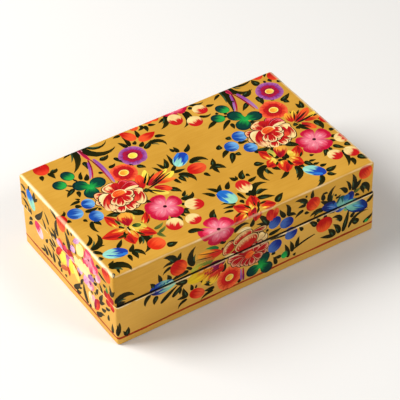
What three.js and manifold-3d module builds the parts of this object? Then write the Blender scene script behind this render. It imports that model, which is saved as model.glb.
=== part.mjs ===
// A rectangular papier-mache box with a lift-off lid, as painted and lacquered in Kashmir.
// Thin wooden boards, glued and nailed at the corners, carry a skin of paper layers and chalk ground.
// The box is skinned and painted closed, then sawn apart. A neck of four rebated strips, glued inside
// the base, stands above its rim, and the lid drops over it with a little play.
// Millimetres. +X runs along the long side, -Y is the front, +Z is up.
// The origin is the centre of the base's underside.

import * as THREE from "three";
import { mergeVertices } from "three/addons/utils/BufferGeometryUtils.js";
import Module from "manifold-3d";

const wasm = await Module();
wasm.setup();

// Driving dimensions
const WIDTH = 180;
const DEPTH = 108;
const HEIGHT = 52;
const BASE_HEIGHT = 29;
const SAW_GAP = 0.3;
const SKIN = 1;
const BOARD = 4;
const GLUE = 0.1;
const NECK = 2.6;
const NECK_RELIEF = 1.3;
const NECK_RISE = 6;
const PAD = 1.5;
const VELVET = 0.8;

// The lid sits against the front of the neck, a little back and to the left of the base.
const LID_SHIFT_X = -0.4;
const LID_SHIFT_Y = 1.2;

// Rounded edges of the skin
const CORNER_RADIUS = 2;
const TOP_ARRIS = 1.8;
const FOOT_ARRIS = 1;
const RIM_ARRIS = 0.5;
const ARC_STEPS = 6;

// Wire nails in the corner joints
const NAIL_RADIUS = 0.6;
const NAIL_HEAD_RADIUS = 1;
const NAIL_HEAD = 0.6;
const NAIL_LENGTH = 15;
const NAIL_TIP = 1.5;
const NAIL_SINK = 0.5;
const NAIL_CLEARANCE = 0.15;
const NAIL_SIDES = 12;
const NAIL_EDGE = 6;

// Sizes that follow
const LID_BOTTOM = BASE_HEIGHT + SAW_GAP;
const BOARD_OUTER = SKIN + GLUE;
const BOARD_INNER = BOARD_OUTER + BOARD;
const NECK_OUTER = BOARD_INNER + GLUE;
const NECK_INNER = NECK_OUTER + NECK;
const NECK_TOP = BASE_HEIGHT + NECK_RISE;
const FLOOR_TOP = SKIN + GLUE + BOARD;
const CEILING = HEIGHT - SKIN - GLUE - BOARD;

const skinPaint = new THREE.MeshStandardMaterial({ color: 0xd9a441, roughness: 0.3, metalness: 0.15 });
const boardWood = new THREE.MeshStandardMaterial({ color: 0xc9a577, roughness: 0.8, metalness: 0 });
const neckPaint = new THREE.MeshStandardMaterial({ color: 0x1d1410, roughness: 0.45, metalness: 0 });
const velvet = new THREE.MeshStandardMaterial({ color: 0x6d0f1c, roughness: 0.95, metalness: 0 });
const nailSteel = new THREE.MeshStandardMaterial({ color: 0x8d8a85, roughness: 0.4, metalness: 0.9 });

// Solids and booleans

function toSolid(geometry) {
  const plain = geometry.clone();
  plain.deleteAttribute("normal");
  plain.deleteAttribute("uv");
  const merged = mergeVertices(plain, 1e-4);
  return new wasm.Manifold(
    new wasm.Mesh({
      numProp: 3,
      vertProperties: new Float32Array(merged.attributes.position.array),
      triVerts: new Uint32Array(merged.index.array),
    }),
  );
}

function toGeometry(solid) {
  const mesh = solid.getMesh();
  const geometry = new THREE.BufferGeometry();
  geometry.setAttribute("position", new THREE.BufferAttribute(new Float32Array(mesh.vertProperties), 3));
  geometry.setIndex(new THREE.BufferAttribute(new Uint32Array(mesh.triVerts), 1));
  geometry.computeVertexNormals();
  return geometry;
}

// A box between two opposite corners.
function boxBetween([x0, y0, z0], [x1, y1, z1]) {
  const geometry = new THREE.BoxGeometry(x1 - x0, y1 - y0, z1 - z0);
  return geometry.translate((x0 + x1) / 2, (y0 + y1) / 2, (z0 + z1) / 2);
}

// A block centred on the Z axis, with round upright corners and round edges top and bottom.
function roundedBlock(zLow, zHigh, arris) {
  const outline = new THREE.Shape();
  const x = WIDTH / 2;
  const y = DEPTH / 2;
  const r = CORNER_RADIUS;
  outline.moveTo(x, -y + r);
  outline.lineTo(x, y - r);
  outline.absarc(x - r, y - r, r, 0, Math.PI / 2);
  outline.lineTo(-x + r, y);
  outline.absarc(-x + r, y - r, r, Math.PI / 2, Math.PI);
  outline.lineTo(-x, -y + r);
  outline.absarc(-x + r, -y + r, r, Math.PI, Math.PI * 1.5);
  outline.lineTo(x - r, -y);
  outline.absarc(x - r, -y + r, r, Math.PI * 1.5, Math.PI * 2);
  const geometry = new THREE.ExtrudeGeometry(outline, {
    depth: zHigh - zLow - 2 * arris,
    curveSegments: ARC_STEPS,
    bevelEnabled: true,
    bevelThickness: arris,
    bevelSize: arris,
    bevelOffset: -arris,
    bevelSegments: ARC_STEPS,
  });
  return geometry.translate(0, 0, zLow + arris);
}

// The space inside a rectangle set in from the outside by inset, between two heights.
function insideSpace(inset, zLow, zHigh) {
  const x = WIDTH / 2 - inset;
  const y = DEPTH / 2 - inset;
  return boxBetween([-x, -y, zLow], [x, y, zHigh]);
}

function mesh(name, geometry, material) {
  const made = new THREE.Mesh(geometry, material);
  made.name = name;
  return made;
}

// Skins: one open shell of paper and ground over each half

function baseSkin() {
  const foot = toSolid(roundedBlock(0, HEIGHT, FOOT_ARRIS));
  const rim = toSolid(roundedBlock(-HEIGHT, BASE_HEIGHT, RIM_ARRIS));
  const shell = foot.intersect(rim).subtract(toSolid(insideSpace(SKIN, SKIN, HEIGHT)));
  return mesh("base_skin", toGeometry(shell), skinPaint);
}

function lidSkin() {
  const top = toSolid(roundedBlock(0, HEIGHT, TOP_ARRIS));
  const rim = toSolid(roundedBlock(LID_BOTTOM, 2 * HEIGHT, RIM_ARRIS));
  const shell = top.intersect(rim).subtract(toSolid(insideSpace(SKIN, 0, HEIGHT - SKIN)));
  return mesh("lid_skin", toGeometry(shell), skinPaint);
}

// Nails: each is driven through a long board into the end of a side board

const NAIL_X = WIDTH / 2 - BOARD_OUTER - BOARD / 2;
const NAIL_Y = DEPTH / 2 - BOARD_OUTER - NAIL_SINK;

function nailProfile(extra) {
  const head = NAIL_HEAD_RADIUS + extra;
  const shank = NAIL_RADIUS + extra;
  const end = NAIL_LENGTH + extra;
  return [
    new THREE.Vector2(0, -end),
    new THREE.Vector2(shank, -end + NAIL_TIP),
    new THREE.Vector2(shank, -NAIL_HEAD - extra),
    new THREE.Vector2(head, -NAIL_HEAD - extra),
    new THREE.Vector2(head, extra),
    new THREE.Vector2(0, extra),
  ];
}

// The profile is turned about Y with its head at the top. side is -1 at the front and 1 at the back.
function nailAt(x, side, z, extra) {
  const geometry = new THREE.LatheGeometry(nailProfile(extra), NAIL_SIDES);
  if (side < 0) geometry.rotateZ(Math.PI);
  return geometry.translate(x, side * NAIL_Y, z);
}

// The sunk head's hole, filled with ground on the real box, is left open as far as the board's face.
function nailHole(x, side, z) {
  const sink = new THREE.CylinderGeometry(
    NAIL_HEAD_RADIUS + NAIL_CLEARANCE,
    NAIL_HEAD_RADIUS + NAIL_CLEARANCE,
    2 * NAIL_SINK,
    NAIL_SIDES,
  );
  sink.translate(x, side * (NAIL_Y + NAIL_SINK), z);
  return toSolid(nailAt(x, side, z, NAIL_CLEARANCE)).add(toSolid(sink));
}

function nailPlaces(zLow, zHigh) {
  const places = [];
  for (const [endName, side] of [["front", -1], ["back", 1]]) {
    for (const [sideName, x] of [["left", -NAIL_X], ["right", NAIL_X]]) {
      for (const [levelName, z] of [["lower", zLow + NAIL_EDGE], ["upper", zHigh - NAIL_EDGE]]) {
        places.push({ name: `${endName}_${sideName}_${levelName}`, x, side, z });
      }
    }
  }
  return places;
}

// Walls: long boards at front and back, side boards between them

function walls(prefix, zLow, zHigh) {
  const x = WIDTH / 2;
  const y = DEPTH / 2;
  const sideEnd = y - BOARD_INNER - GLUE;
  const boards = {
    front: boxBetween([-x + BOARD_OUTER, -y + BOARD_OUTER, zLow], [x - BOARD_OUTER, -y + BOARD_INNER, zHigh]),
    back: boxBetween([-x + BOARD_OUTER, y - BOARD_INNER, zLow], [x - BOARD_OUTER, y - BOARD_OUTER, zHigh]),
    left: boxBetween([-x + BOARD_OUTER, -sideEnd, zLow], [-x + BOARD_INNER, sideEnd, zHigh]),
    right: boxBetween([x - BOARD_INNER, -sideEnd, zLow], [x - BOARD_OUTER, sideEnd, zHigh]),
  };
  const places = nailPlaces(zLow, zHigh);
  const made = [];
  for (const [name, geometry] of Object.entries(boards)) {
    let board = toSolid(geometry);
    for (const { x: nailX, side, z } of places) board = board.subtract(nailHole(nailX, side, z));
    made.push(mesh(`${prefix}_${name}_board`, toGeometry(board), boardWood));
  }
  for (const { name, x: nailX, side, z } of places) {
    made.push(mesh(`${prefix}_nail_${name}`, nailAt(nailX, side, z, 0), nailSteel));
  }
  return made;
}

// Neck: each strip is full thickness below the rim and thinner above it, so that the lid has play

const NECK_LIP = NECK_OUTER + NECK_RELIEF;

// The part above the rim, drawn in section across the strip, with its top edge eased.
function neckLip(length) {
  const section = new THREE.Shape();
  const thickness = NECK_INNER - NECK_LIP;
  const ease = thickness / 2;
  const root = BASE_HEIGHT - NECK_RISE;
  section.moveTo(0, root);
  section.lineTo(thickness, root);
  section.lineTo(thickness, NECK_TOP - ease);
  section.absarc(ease, NECK_TOP - ease, ease, 0, Math.PI);
  section.lineTo(0, root);
  const geometry = new THREE.ExtrudeGeometry(section, {
    depth: length,
    curveSegments: ARC_STEPS,
    bevelEnabled: false,
  });
  geometry.translate(0, 0, -length / 2);
  return geometry.rotateX(Math.PI / 2);
}

function neckStrip(name, x, reach, endInset, lipEndInset, turn) {
  const root = boxBetween([-x + NECK_OUTER, -reach + endInset, FLOOR_TOP + GLUE], [
    -x + NECK_INNER,
    reach - endInset,
    BASE_HEIGHT,
  ]);
  const lip = neckLip(2 * (reach - lipEndInset)).translate(-x + NECK_LIP, 0, 0);
  const strip = toGeometry(toSolid(root).add(toSolid(lip)));
  return mesh(name, strip.rotateZ(turn), neckPaint);
}

function neck() {
  const x = WIDTH / 2;
  const y = DEPTH / 2;
  const sideEnd = NECK_INNER + GLUE;
  return [
    neckStrip("neck_left", x, y, sideEnd, sideEnd, 0),
    neckStrip("neck_right", x, y, sideEnd, sideEnd, Math.PI),
    neckStrip("neck_front", y, x, NECK_OUTER, NECK_LIP, Math.PI / 2),
    neckStrip("neck_back", y, x, NECK_OUTER, NECK_LIP, -Math.PI / 2),
  ];
}

// Linings: a padded card on the floor and ceiling, and one velvet strip folded round each wall

function pad(name, inset, zLow) {
  return mesh(name, insideSpace(inset, zLow, zLow + PAD), velvet);
}

// The strip's two ends meet at the back right corner with a hair's gap.
function wallLining(name, inset, zLow, zHigh) {
  const slit = 4 * GLUE;
  const x = WIDTH / 2 - inset;
  const y = DEPTH / 2 - inset;
  const ring = toSolid(boxBetween([-x, -y, zLow], [x, y, zHigh]))
    .subtract(toSolid(insideSpace(inset + VELVET, zLow - 1, zHigh + 1)))
    .subtract(toSolid(boxBetween([x - VELVET - slit, y - 2 * VELVET, zLow - 1], [x - VELVET, y + 1, zHigh + 1])));
  return mesh(name, toGeometry(ring), velvet);
}

function base() {
  const group = new THREE.Group();
  const lining = NECK_INNER + GLUE;
  const floor = insideSpace(BOARD_OUTER, SKIN + GLUE, FLOOR_TOP);
  group.add(
    baseSkin(),
    mesh("base_floor_board", floor, boardWood),
    ...walls("base", FLOOR_TOP + GLUE, BASE_HEIGHT),
    ...neck(),
    pad("base_floor_pad", lining, FLOOR_TOP + GLUE),
    wallLining("base_wall_lining", lining, FLOOR_TOP + PAD + 2 * GLUE, NECK_TOP - 1),
  );
  return group;
}

function lid() {
  const group = new THREE.Group();
  const lining = BOARD_INNER + GLUE;
  const top = insideSpace(BOARD_OUTER, CEILING, HEIGHT - SKIN - GLUE);
  const padBottom = CEILING - GLUE - PAD;
  group.add(
    lidSkin(),
    mesh("lid_top_board", top, boardWood),
    ...walls("lid", LID_BOTTOM, CEILING - GLUE),
    pad("lid_ceiling_pad", lining, padBottom),
    wallLining("lid_wall_lining", lining, NECK_TOP + 1, padBottom - GLUE),
  );
  group.position.set(LID_SHIFT_X, LID_SHIFT_Y, 0);
  return group;
}

const box = new THREE.Group();
box.add(base(), lid());
export default box;
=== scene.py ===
# %% [markdown]
# A papier-mache box with a lift-off lid, painted with flower sprays on gold and lacquered.
# The wooden core, the neck and the linings come from the packed model. This script makes the skins,
# paints them stroke by stroke, lines the inside with velvet, and sets a plain studio round the box.

import cmath
import math
import random

import bmesh
import bpy
import numpy as np
from mathutils import Matrix, Vector


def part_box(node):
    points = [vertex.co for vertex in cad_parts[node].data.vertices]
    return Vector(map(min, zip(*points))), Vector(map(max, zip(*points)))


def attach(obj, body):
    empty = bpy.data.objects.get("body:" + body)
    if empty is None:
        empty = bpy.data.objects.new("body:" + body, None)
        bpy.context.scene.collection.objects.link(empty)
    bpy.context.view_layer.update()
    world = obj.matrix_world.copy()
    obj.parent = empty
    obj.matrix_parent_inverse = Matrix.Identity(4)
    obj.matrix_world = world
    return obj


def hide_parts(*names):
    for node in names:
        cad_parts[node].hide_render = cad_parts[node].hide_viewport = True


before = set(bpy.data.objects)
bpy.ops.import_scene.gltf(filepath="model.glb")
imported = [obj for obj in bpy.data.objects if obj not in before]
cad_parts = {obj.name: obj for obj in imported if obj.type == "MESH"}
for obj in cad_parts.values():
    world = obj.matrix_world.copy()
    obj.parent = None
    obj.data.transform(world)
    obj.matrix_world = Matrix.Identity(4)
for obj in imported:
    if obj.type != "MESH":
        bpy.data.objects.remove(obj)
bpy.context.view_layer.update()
MM = 0.001

# %% [markdown]
# The camera looks down at the front left corner through a long lens, so the box's edges stay almost
# parallel. Its place is worked out from a turn, a height and a distance, as on a studio boom, and a
# small roll levels it the way the picture was taken.

# %% Camera
AZIMUTH = math.radians(-32.39)
ELEVATION = math.radians(40.78)
ROLL = math.radians(-0.98)
DISTANCE = 1150.3 * MM
LENS = 173.75
TARGET = Vector((1.47, 1.27, 26.0)) * MM

back = Vector(
    (
        math.sin(AZIMUTH) * math.cos(ELEVATION),
        -math.cos(AZIMUTH) * math.cos(ELEVATION),
        math.sin(ELEVATION),
    )
)
level = Vector((0, 0, 1)).cross(back).normalized()
rise = back.cross(level)
across = level * math.cos(ROLL) + rise * math.sin(ROLL)
upward = rise * math.cos(ROLL) - level * math.sin(ROLL)

camera = bpy.data.objects.new("camera", bpy.data.cameras.new("camera"))
camera.data.lens = LENS
camera.data.sensor_width = 36
camera.matrix_world = Matrix.Translation(TARGET + back * DISTANCE) @ Matrix(
    (across, upward, back)
).transposed().to_4x4()
bpy.context.scene.collection.objects.link(camera)
bpy.context.scene.camera = camera
print("camera stands", round(DISTANCE, 3), "m from the box")

# %% [markdown]
# Shader maths is easier to read as plain expressions. A wire stands for one value in a node tree,
# and arithmetic on it adds the Math nodes. Every other node comes from one call of the board.


# %% Wires
class Wire:
    """One value in a node tree."""

    def __init__(self, board, socket):
        self.board = board
        self.socket = socket

    def math(self, operation, *others):
        return self.board.math(operation, self, *others)

    def __add__(self, other):
        return self.math("ADD", other)

    def __radd__(self, other):
        return self.board.math("ADD", other, self)

    def __sub__(self, other):
        return self.math("SUBTRACT", other)

    def __rsub__(self, other):
        return self.board.math("SUBTRACT", other, self)

    def __mul__(self, other):
        return self.math("MULTIPLY", other)

    def __rmul__(self, other):
        return self.board.math("MULTIPLY", other, self)

    def __truediv__(self, other):
        return self.math("DIVIDE", other)

    def __rtruediv__(self, other):
        return self.board.math("DIVIDE", other, self)

    def __pow__(self, other):
        return self.math("POWER", other)


print("Wire:", Wire.__doc__)


# %% Boards
class Board:
    """A node tree and the one way to put a node on it."""

    def __init__(self, tree):
        self.tree = tree
        tree.nodes.clear()

    @staticmethod
    def pick(sockets, key):
        shown = [socket for socket in sockets if socket.enabled]
        if isinstance(key, int):
            return shown[key]
        return next(socket for socket in shown if socket.name == key)

    def add(self, kind, settings=None, inputs=None, output=0):
        node = self.tree.nodes.new(kind)
        for name, value in (settings or {}).items():
            setattr(node, name, value)
        for key, value in (inputs or {}).items():
            socket = self.pick(node.inputs, key)
            if isinstance(value, Wire):
                self.tree.links.new(value.socket, socket)
            else:
                socket.default_value = value
        if not any(socket.enabled for socket in node.outputs):
            return None
        return Wire(self, self.pick(node.outputs, output))

    def math(self, operation, *values):
        return self.add("ShaderNodeMath", {"operation": operation}, dict(enumerate(values)))

    def join(self, x, y, z):
        return self.add("ShaderNodeCombineXYZ", {}, {0: x, 1: y, 2: z})

    def split(self, vector):
        node = self.add("ShaderNodeSeparateXYZ", {}, {0: vector}).socket.node
        return [Wire(self, socket) for socket in node.outputs]

    def stretch(self, vector, scale):
        return self.add("ShaderNodeVectorMath", {"operation": "MULTIPLY"}, {0: vector, 1: scale})

    def noise(self, vector, scale, detail=2.0, roughness=0.5):
        return self.add(
            "ShaderNodeTexNoise",
            {},
            {"Vector": vector, "Scale": scale, "Detail": detail, "Roughness": roughness},
        )

    def smooth(self, value, low, high):
        return self.add(
            "ShaderNodeMapRange",
            {"interpolation_type": "SMOOTHSTEP"},
            {"Value": value, "From Min": low, "From Max": high},
        )

    def mix(self, factor, first, second, blend="MIX"):
        return self.add(
            "ShaderNodeMix",
            {"data_type": "RGBA", "blend_type": blend},
            {"Factor": factor, "A": first, "B": second},
        )

    def bump(self, height, strength, distance):
        return self.add(
            "ShaderNodeBump", {}, {"Height": height, "Strength": strength, "Distance": distance}
        )

    def surface(self, **sockets):
        named = {name.replace("_", " "): value for name, value in sockets.items()}
        shader = self.add("ShaderNodeBsdfPrincipled", {}, named)
        self.add("ShaderNodeOutputMaterial", {}, {"Surface": shader})


print("Board:", Board.__doc__)


# %% Materials and colours
def new_material(name):
    made = bpy.data.materials.new(name)
    made.use_nodes = True
    return made, Board(made.node_tree)


def rgb(code):
    """The linear colour of a painter's code such as D9A843."""
    values = [int(code[i : i + 2], 16) / 255 for i in (0, 2, 4)]
    linear = [v / 12.92 if v <= 0.04045 else ((v + 0.055) / 1.055) ** 2.4 for v in values]
    return (*linear, 1.0)


print("gold ground in linear light", [round(v, 3) for v in rgb("D9A843")])

# %% [markdown]
# The studio is a pale table, one large soft lamp at the left and behind, and a weak one at the front
# right. The left lamp is what gives the box a bright left wall, a clear top and a quieter front.

# %% Table and lamps
FLOOR_HALF = 3.0
LAMP_DISTANCE = 1.6
SKY_STRENGTH = 0.25


def table_paper():
    made, board = new_material("table_paper")
    place = board.add("ShaderNodeTexCoord", output="Object")
    cloud = board.noise(place, 3.0)
    board.surface(
        Base_Color=board.mix(cloud, rgb("E9E6E1"), rgb("EDEBE7")), Roughness=0.75
    )
    return made


floor_mesh = bpy.data.meshes.new("floor")
floor_mesh.from_pydata(
    [(x * FLOOR_HALF, y * FLOOR_HALF, 0) for x, y in ((-1, -1), (1, -1), (1, 1), (-1, 1))],
    [],
    [(0, 1, 2, 3)],
)
floor = bpy.data.objects.new("floor", floor_mesh)
floor_mesh.materials.append(table_paper())
bpy.context.scene.collection.objects.link(floor)


def lamp(name, direction, power, size):
    data = bpy.data.lights.new(name, "AREA")
    data.energy = power
    data.size = size
    made = bpy.data.objects.new(name, data)
    way = Vector(direction).normalized()
    made.location = TARGET + way * LAMP_DISTANCE
    made.rotation_mode = "QUATERNION"
    made.rotation_quaternion = (-way).to_track_quat("-Z", "Y")
    bpy.context.scene.collection.objects.link(made)


lamp("window", (-0.6, 0.45, 0.62), 33.0, 0.93)
lamp("card", (0.35, -0.65, 0.67), 8.0, 0.5)

world = bpy.data.worlds.new("studio")
bpy.context.scene.world = world
world.use_nodes = True
sky = world.node_tree.nodes["Background"]
sky.inputs["Color"].default_value = rgb("FFFFFF")
sky.inputs["Strength"].default_value = SKY_STRENGTH
bpy.context.scene.view_settings.view_transform = "Standard"
print("studio ready")

# %% [markdown]
# The box is built and painted closed, then sawn apart, so one description of the surface serves the
# lid, the base and the paint. Everything is first drawn on a sharp-edged box in millimetres. This
# function carries it onto the real one, with rounded edges, eased rims and the slight unevenness of
# hand-laid paper. Working it out once keeps the paint exactly on the ground beneath it.

# %% The surface of the closed box
base_low, base_high = (np.array(corner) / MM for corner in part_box("base_skin"))
lid_low, lid_high = (np.array(corner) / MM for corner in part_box("lid_skin"))
HALF_X, HALF_Y = (base_high - base_low)[:2] / 2
LID_SHIFT = (lid_low + lid_high)[:2] / 2
BASE_RIM = base_high[2]
LID_RIM = lid_low[2]
HEIGHT = lid_high[2]
SKIN = 1.0
CORNER_RADIUS = 2.0
TOP_ARRIS = 1.8
FOOT_ARRIS = 1.0
RIM_ARRIS = 0.5
ARC_CELLS = 4
UNEVEN = 0.08


def unevenness(points):
    """How far the hand-laid ground lies inside the true box, in millimetres."""
    x, y, z = points.T
    broad = np.sin(x / 6.3 + 1.1 * np.sin(y / 9.0)) * np.sin(y / 5.7 + z / 7.0 + 1.3)
    ripple = np.sin(x / 1.9 + z / 2.3 + 2.0 * np.sin(y / 6.0)) * np.sin(y / 2.1 - z / 3.1)
    return UNEVEN * (1.2 + broad + 0.3 * ripple)


def surface(points, lift, body):
    """Places and normals on the real surface for points of the sharp-edged box."""
    low = np.array([-HALF_X, -HALF_Y, 0.0])
    high = np.array([HALF_X, HALF_Y, HEIGHT])
    radius = np.full_like(points, CORNER_RADIUS)
    radius[:, 2] = np.where(points[:, 2] > HEIGHT / 2, TOP_ARRIS, FOOT_ARRIS)
    core = np.clip(points, low + radius, high - radius)
    way = (points - core) / radius
    way /= np.linalg.norm(way, axis=1, keepdims=True)
    made = core + way * radius
    normal = way / radius
    normal /= np.linalg.norm(normal, axis=1, keepdims=True)

    side, rim = (1, BASE_RIM) if body == "base" else (-1, LID_RIM)
    start = rim - side * RIM_ARRIS
    share = np.clip((points[:, 2] - start) * side / RIM_ARRIS, 0, 1)
    turn = share * math.pi / 2
    easing = share > 0
    made -= normal * (RIM_ARRIS * (1 - np.cos(turn)))[:, None]
    made[easing, 2] = start + side * RIM_ARRIS * np.sin(turn[easing])
    normal = normal * np.cos(turn)[:, None]
    normal[:, 2] += side * np.sin(turn)

    step = 0.5
    slope = np.stack(
        [unevenness(points + d) - unevenness(points - d) for d in step * np.eye(3)], axis=1
    ) / (2 * step)
    slope -= normal * (slope * normal).sum(axis=1, keepdims=True)
    free = 1 - np.clip(-normal[:, 2], 0, 1) * (points[:, 2] < FOOT_ARRIS)
    made += normal * (lift - unevenness(points) * free)[:, None]
    normal = normal + slope * free[:, None]
    normal /= np.linalg.norm(normal, axis=1, keepdims=True)
    if body == "lid":
        made[:, :2] += LID_SHIFT
    return made, normal


def arc_stops(radius):
    """Distances from a sharp edge at which the rounded edge has its lines."""
    return [radius * (1 - math.tan(k * math.pi / 4 / ARC_CELLS)) for k in range(ARC_CELLS)]


print("closed box", round(2 * HALF_X, 1), round(2 * HALF_Y, 1), round(HEIGHT, 1), "mm")

# %% [markdown]
# The gold ground on such a box is bronze powder or yellow ochre bound in glue, rubbed smooth and
# varnished. It glows a little like metal but is mostly a warm paint, so the shader is part metal
# under a clear coat, clouded at hand size, streaked by the brush and grained by the powder. A pale
# highlight is painted along the lid's top edges, and a pale painted highlight broken into chips
# along the base's sawn rim. Both are masks on the place of a point, and the flowers' paint takes them too.

# %% Gold ground and black lacquer
CLEAR_COAT = {"Coat_Weight": 0.1, "Coat_Roughness": 0.14, "Specular_IOR_Level": 0.02}
# Painted highlight along the lid's top edges: how far it reaches and its colour.
ARRIS_HIGHLIGHT_REACH = 1.6
ARRIS_HIGHLIGHT_COLOUR = "FFE6B8"
# Painted highlight along the base's sawn rim: how far it reaches and its colour.
RIM_HIGHLIGHT_REACH = 0.75
RIM_HIGHLIGHT_COLOUR = "F6DDAA"


def arris_highlight(board, place):
    """A mask that is one along the lid's top edges, where a pale highlight is painted on."""
    x, y, z = board.split(place)
    below = HEIGHT * MM - z
    from_side = HALF_X * MM - (x - float(LID_SHIFT[0]) * MM).math("ABSOLUTE")
    from_front = HALF_Y * MM - (y - float(LID_SHIFT[1]) * MM).math("ABSOLUTE")
    near = (from_side * 0.6).math("MINIMUM", from_front) + below
    highlit = 1.0 - board.smooth(near, ARRIS_HIGHLIGHT_REACH * 0.45 * MM, ARRIS_HIGHLIGHT_REACH * MM)
    patchy = board.smooth(board.noise(place, 160.0, 3.0), 0.2, 0.6)
    return highlit * (0.6 + 0.4 * patchy)


def rim_highlight(board, place):
    """A mask along the base's sawn rim, where a pale highlight is painted on, broken into chips."""
    z = board.split(place)[2]
    near = board.smooth(z, (BASE_RIM - RIM_HIGHLIGHT_REACH) * MM, (BASE_RIM - RIM_HIGHLIGHT_REACH * 0.4) * MM)
    on_base = board.math("LESS_THAN", z, (BASE_RIM + 0.1) * MM)
    chips = board.smooth(board.noise(place, 190.0, 3.0), 0.36, 0.5)
    return near * on_base * chips


def gold_ground():
    made, board = new_material("gold_ground")
    place = board.add("ShaderNodeTexCoord", output="Object")
    z = board.split(place)[2]
    cloud = board.noise(place, 28.0, 3.0)
    brushed = board.noise(board.stretch(place, (60.0, 900.0, 900.0)), 1.0, 2.0)
    powder = board.noise(place, 2600.0, 1.0)
    tone = board.smooth(cloud * 0.7 + brushed * 0.3, 0.3, 0.7)
    colour = board.mix(tone, rgb("C88E2A"), rgb("DAA23C"))
    colour = board.mix(powder * 0.22, colour, rgb("F0C25C"))
    on_base = board.math("LESS_THAN", z, BASE_RIM * MM)
    colour = board.mix(on_base * 0.3, colour, rgb("F4C468"))
    # Painted highlight: a pale line along the base's rim, broken into chips.
    colour = board.mix(rim_highlight(board, place), colour, rgb(RIM_HIGHLIGHT_COLOUR))
    # Painted highlight: a pale band along the lid's top edges.
    colour = board.mix(arris_highlight(board, place), colour, rgb(ARRIS_HIGHLIGHT_COLOUR))
    relief = cloud * 0.4 + brushed * 0.35 + powder * 0.25
    board.surface(
        Base_Color=colour,
        Metallic=0.12,
        Roughness=0.34 + 0.14 * cloud + 0.06 * powder,
        Normal=board.bump(relief, 0.12, 0.0002),
        **CLEAR_COAT,
    )
    return made


def black_lacquer():
    made, board = new_material("black_lacquer")
    place = board.add("ShaderNodeTexCoord", output="Object")
    cloud = board.noise(place, 60.0, 3.0)
    scratch = board.noise(board.stretch(place, (90.0, 1400.0, 1400.0)), 1.0)
    colour = board.mix(board.smooth(cloud, 0.35, 0.75), rgb("15100D"), rgb("2B1C14"))
    board.surface(
        Base_Color=colour,
        Roughness=0.22 + 0.22 * scratch,
        Normal=board.bump(cloud + scratch * 0.3, 0.15, 0.0002),
        Coat_Weight=0.5,
        Coat_Roughness=0.15,
    )
    return made


gold = gold_ground()
black = black_lacquer()
print("made", gold.name, black.name)

# %% [markdown]
# Each skin is one shell: the outside carried through the surface function, a narrow lacquered rim,
# and the plain inside that lies on the boards. A grid follows the sharp box, with close lines where
# the edges are rounded, so that the arrises catch the light as a soft line and not as a crease.

# %% Grid lines
CELL = 2.5


def lines(low, high, low_stops, high_stops):
    """Grid lines from low to high, close together at the rounded ends."""
    first = [low + stop for stop in reversed([*low_stops])]
    last = [high - stop for stop in high_stops]
    inner_low = low + max(low_stops)
    inner_high = high - max(high_stops)
    count = max(1, round((inner_high - inner_low) / CELL))
    middle = np.linspace(inner_low, inner_high, count + 1)[1:-1]
    return np.array([low, *first, *middle, *last, high])


RIM_STOPS = [RIM_ARRIS * k / ARC_CELLS for k in range(ARC_CELLS, 0, -1)]
X_LINES = lines(-HALF_X, HALF_X, arc_stops(CORNER_RADIUS), arc_stops(CORNER_RADIUS))
Y_LINES = lines(-HALF_Y, HALF_Y, arc_stops(CORNER_RADIUS), arc_stops(CORNER_RADIUS))
Z_LINES = {
    "base": lines(0, BASE_RIM, arc_stops(FOOT_ARRIS), RIM_STOPS),
    "lid": lines(LID_RIM, HEIGHT, RIM_STOPS, arc_stops(TOP_ARRIS)),
}


def outline_loop():
    """Points of the box's plan, anticlockwise from the front left corner."""
    front = [(x, -HALF_Y) for x in X_LINES[:-1]]
    right = [(HALF_X, y) for y in Y_LINES[:-1]]
    rear = [(x, HALF_Y) for x in X_LINES[:0:-1]]
    left = [(-HALF_X, y) for y in Y_LINES[:0:-1]]
    return np.array([*front, *right, *rear, *left])


print("grid lines:", len(X_LINES), "along x,", len(Y_LINES), "along y")


# %% Skins
def finish_mesh(name, bm, materials, body, sharp=None):
    """Turns a bmesh into a piece of the object that rides on a body."""
    mesh = bpy.data.meshes.new(name)
    bm.to_mesh(mesh)
    bm.free()
    for used in materials:
        mesh.materials.append(used)
    if sharp is not None:
        mesh.set_sharp_from_angle(angle=math.radians(sharp))
    made = bpy.data.objects.new(name, mesh)
    bpy.context.scene.collection.objects.link(made)
    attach(made, body)
    return made


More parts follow.
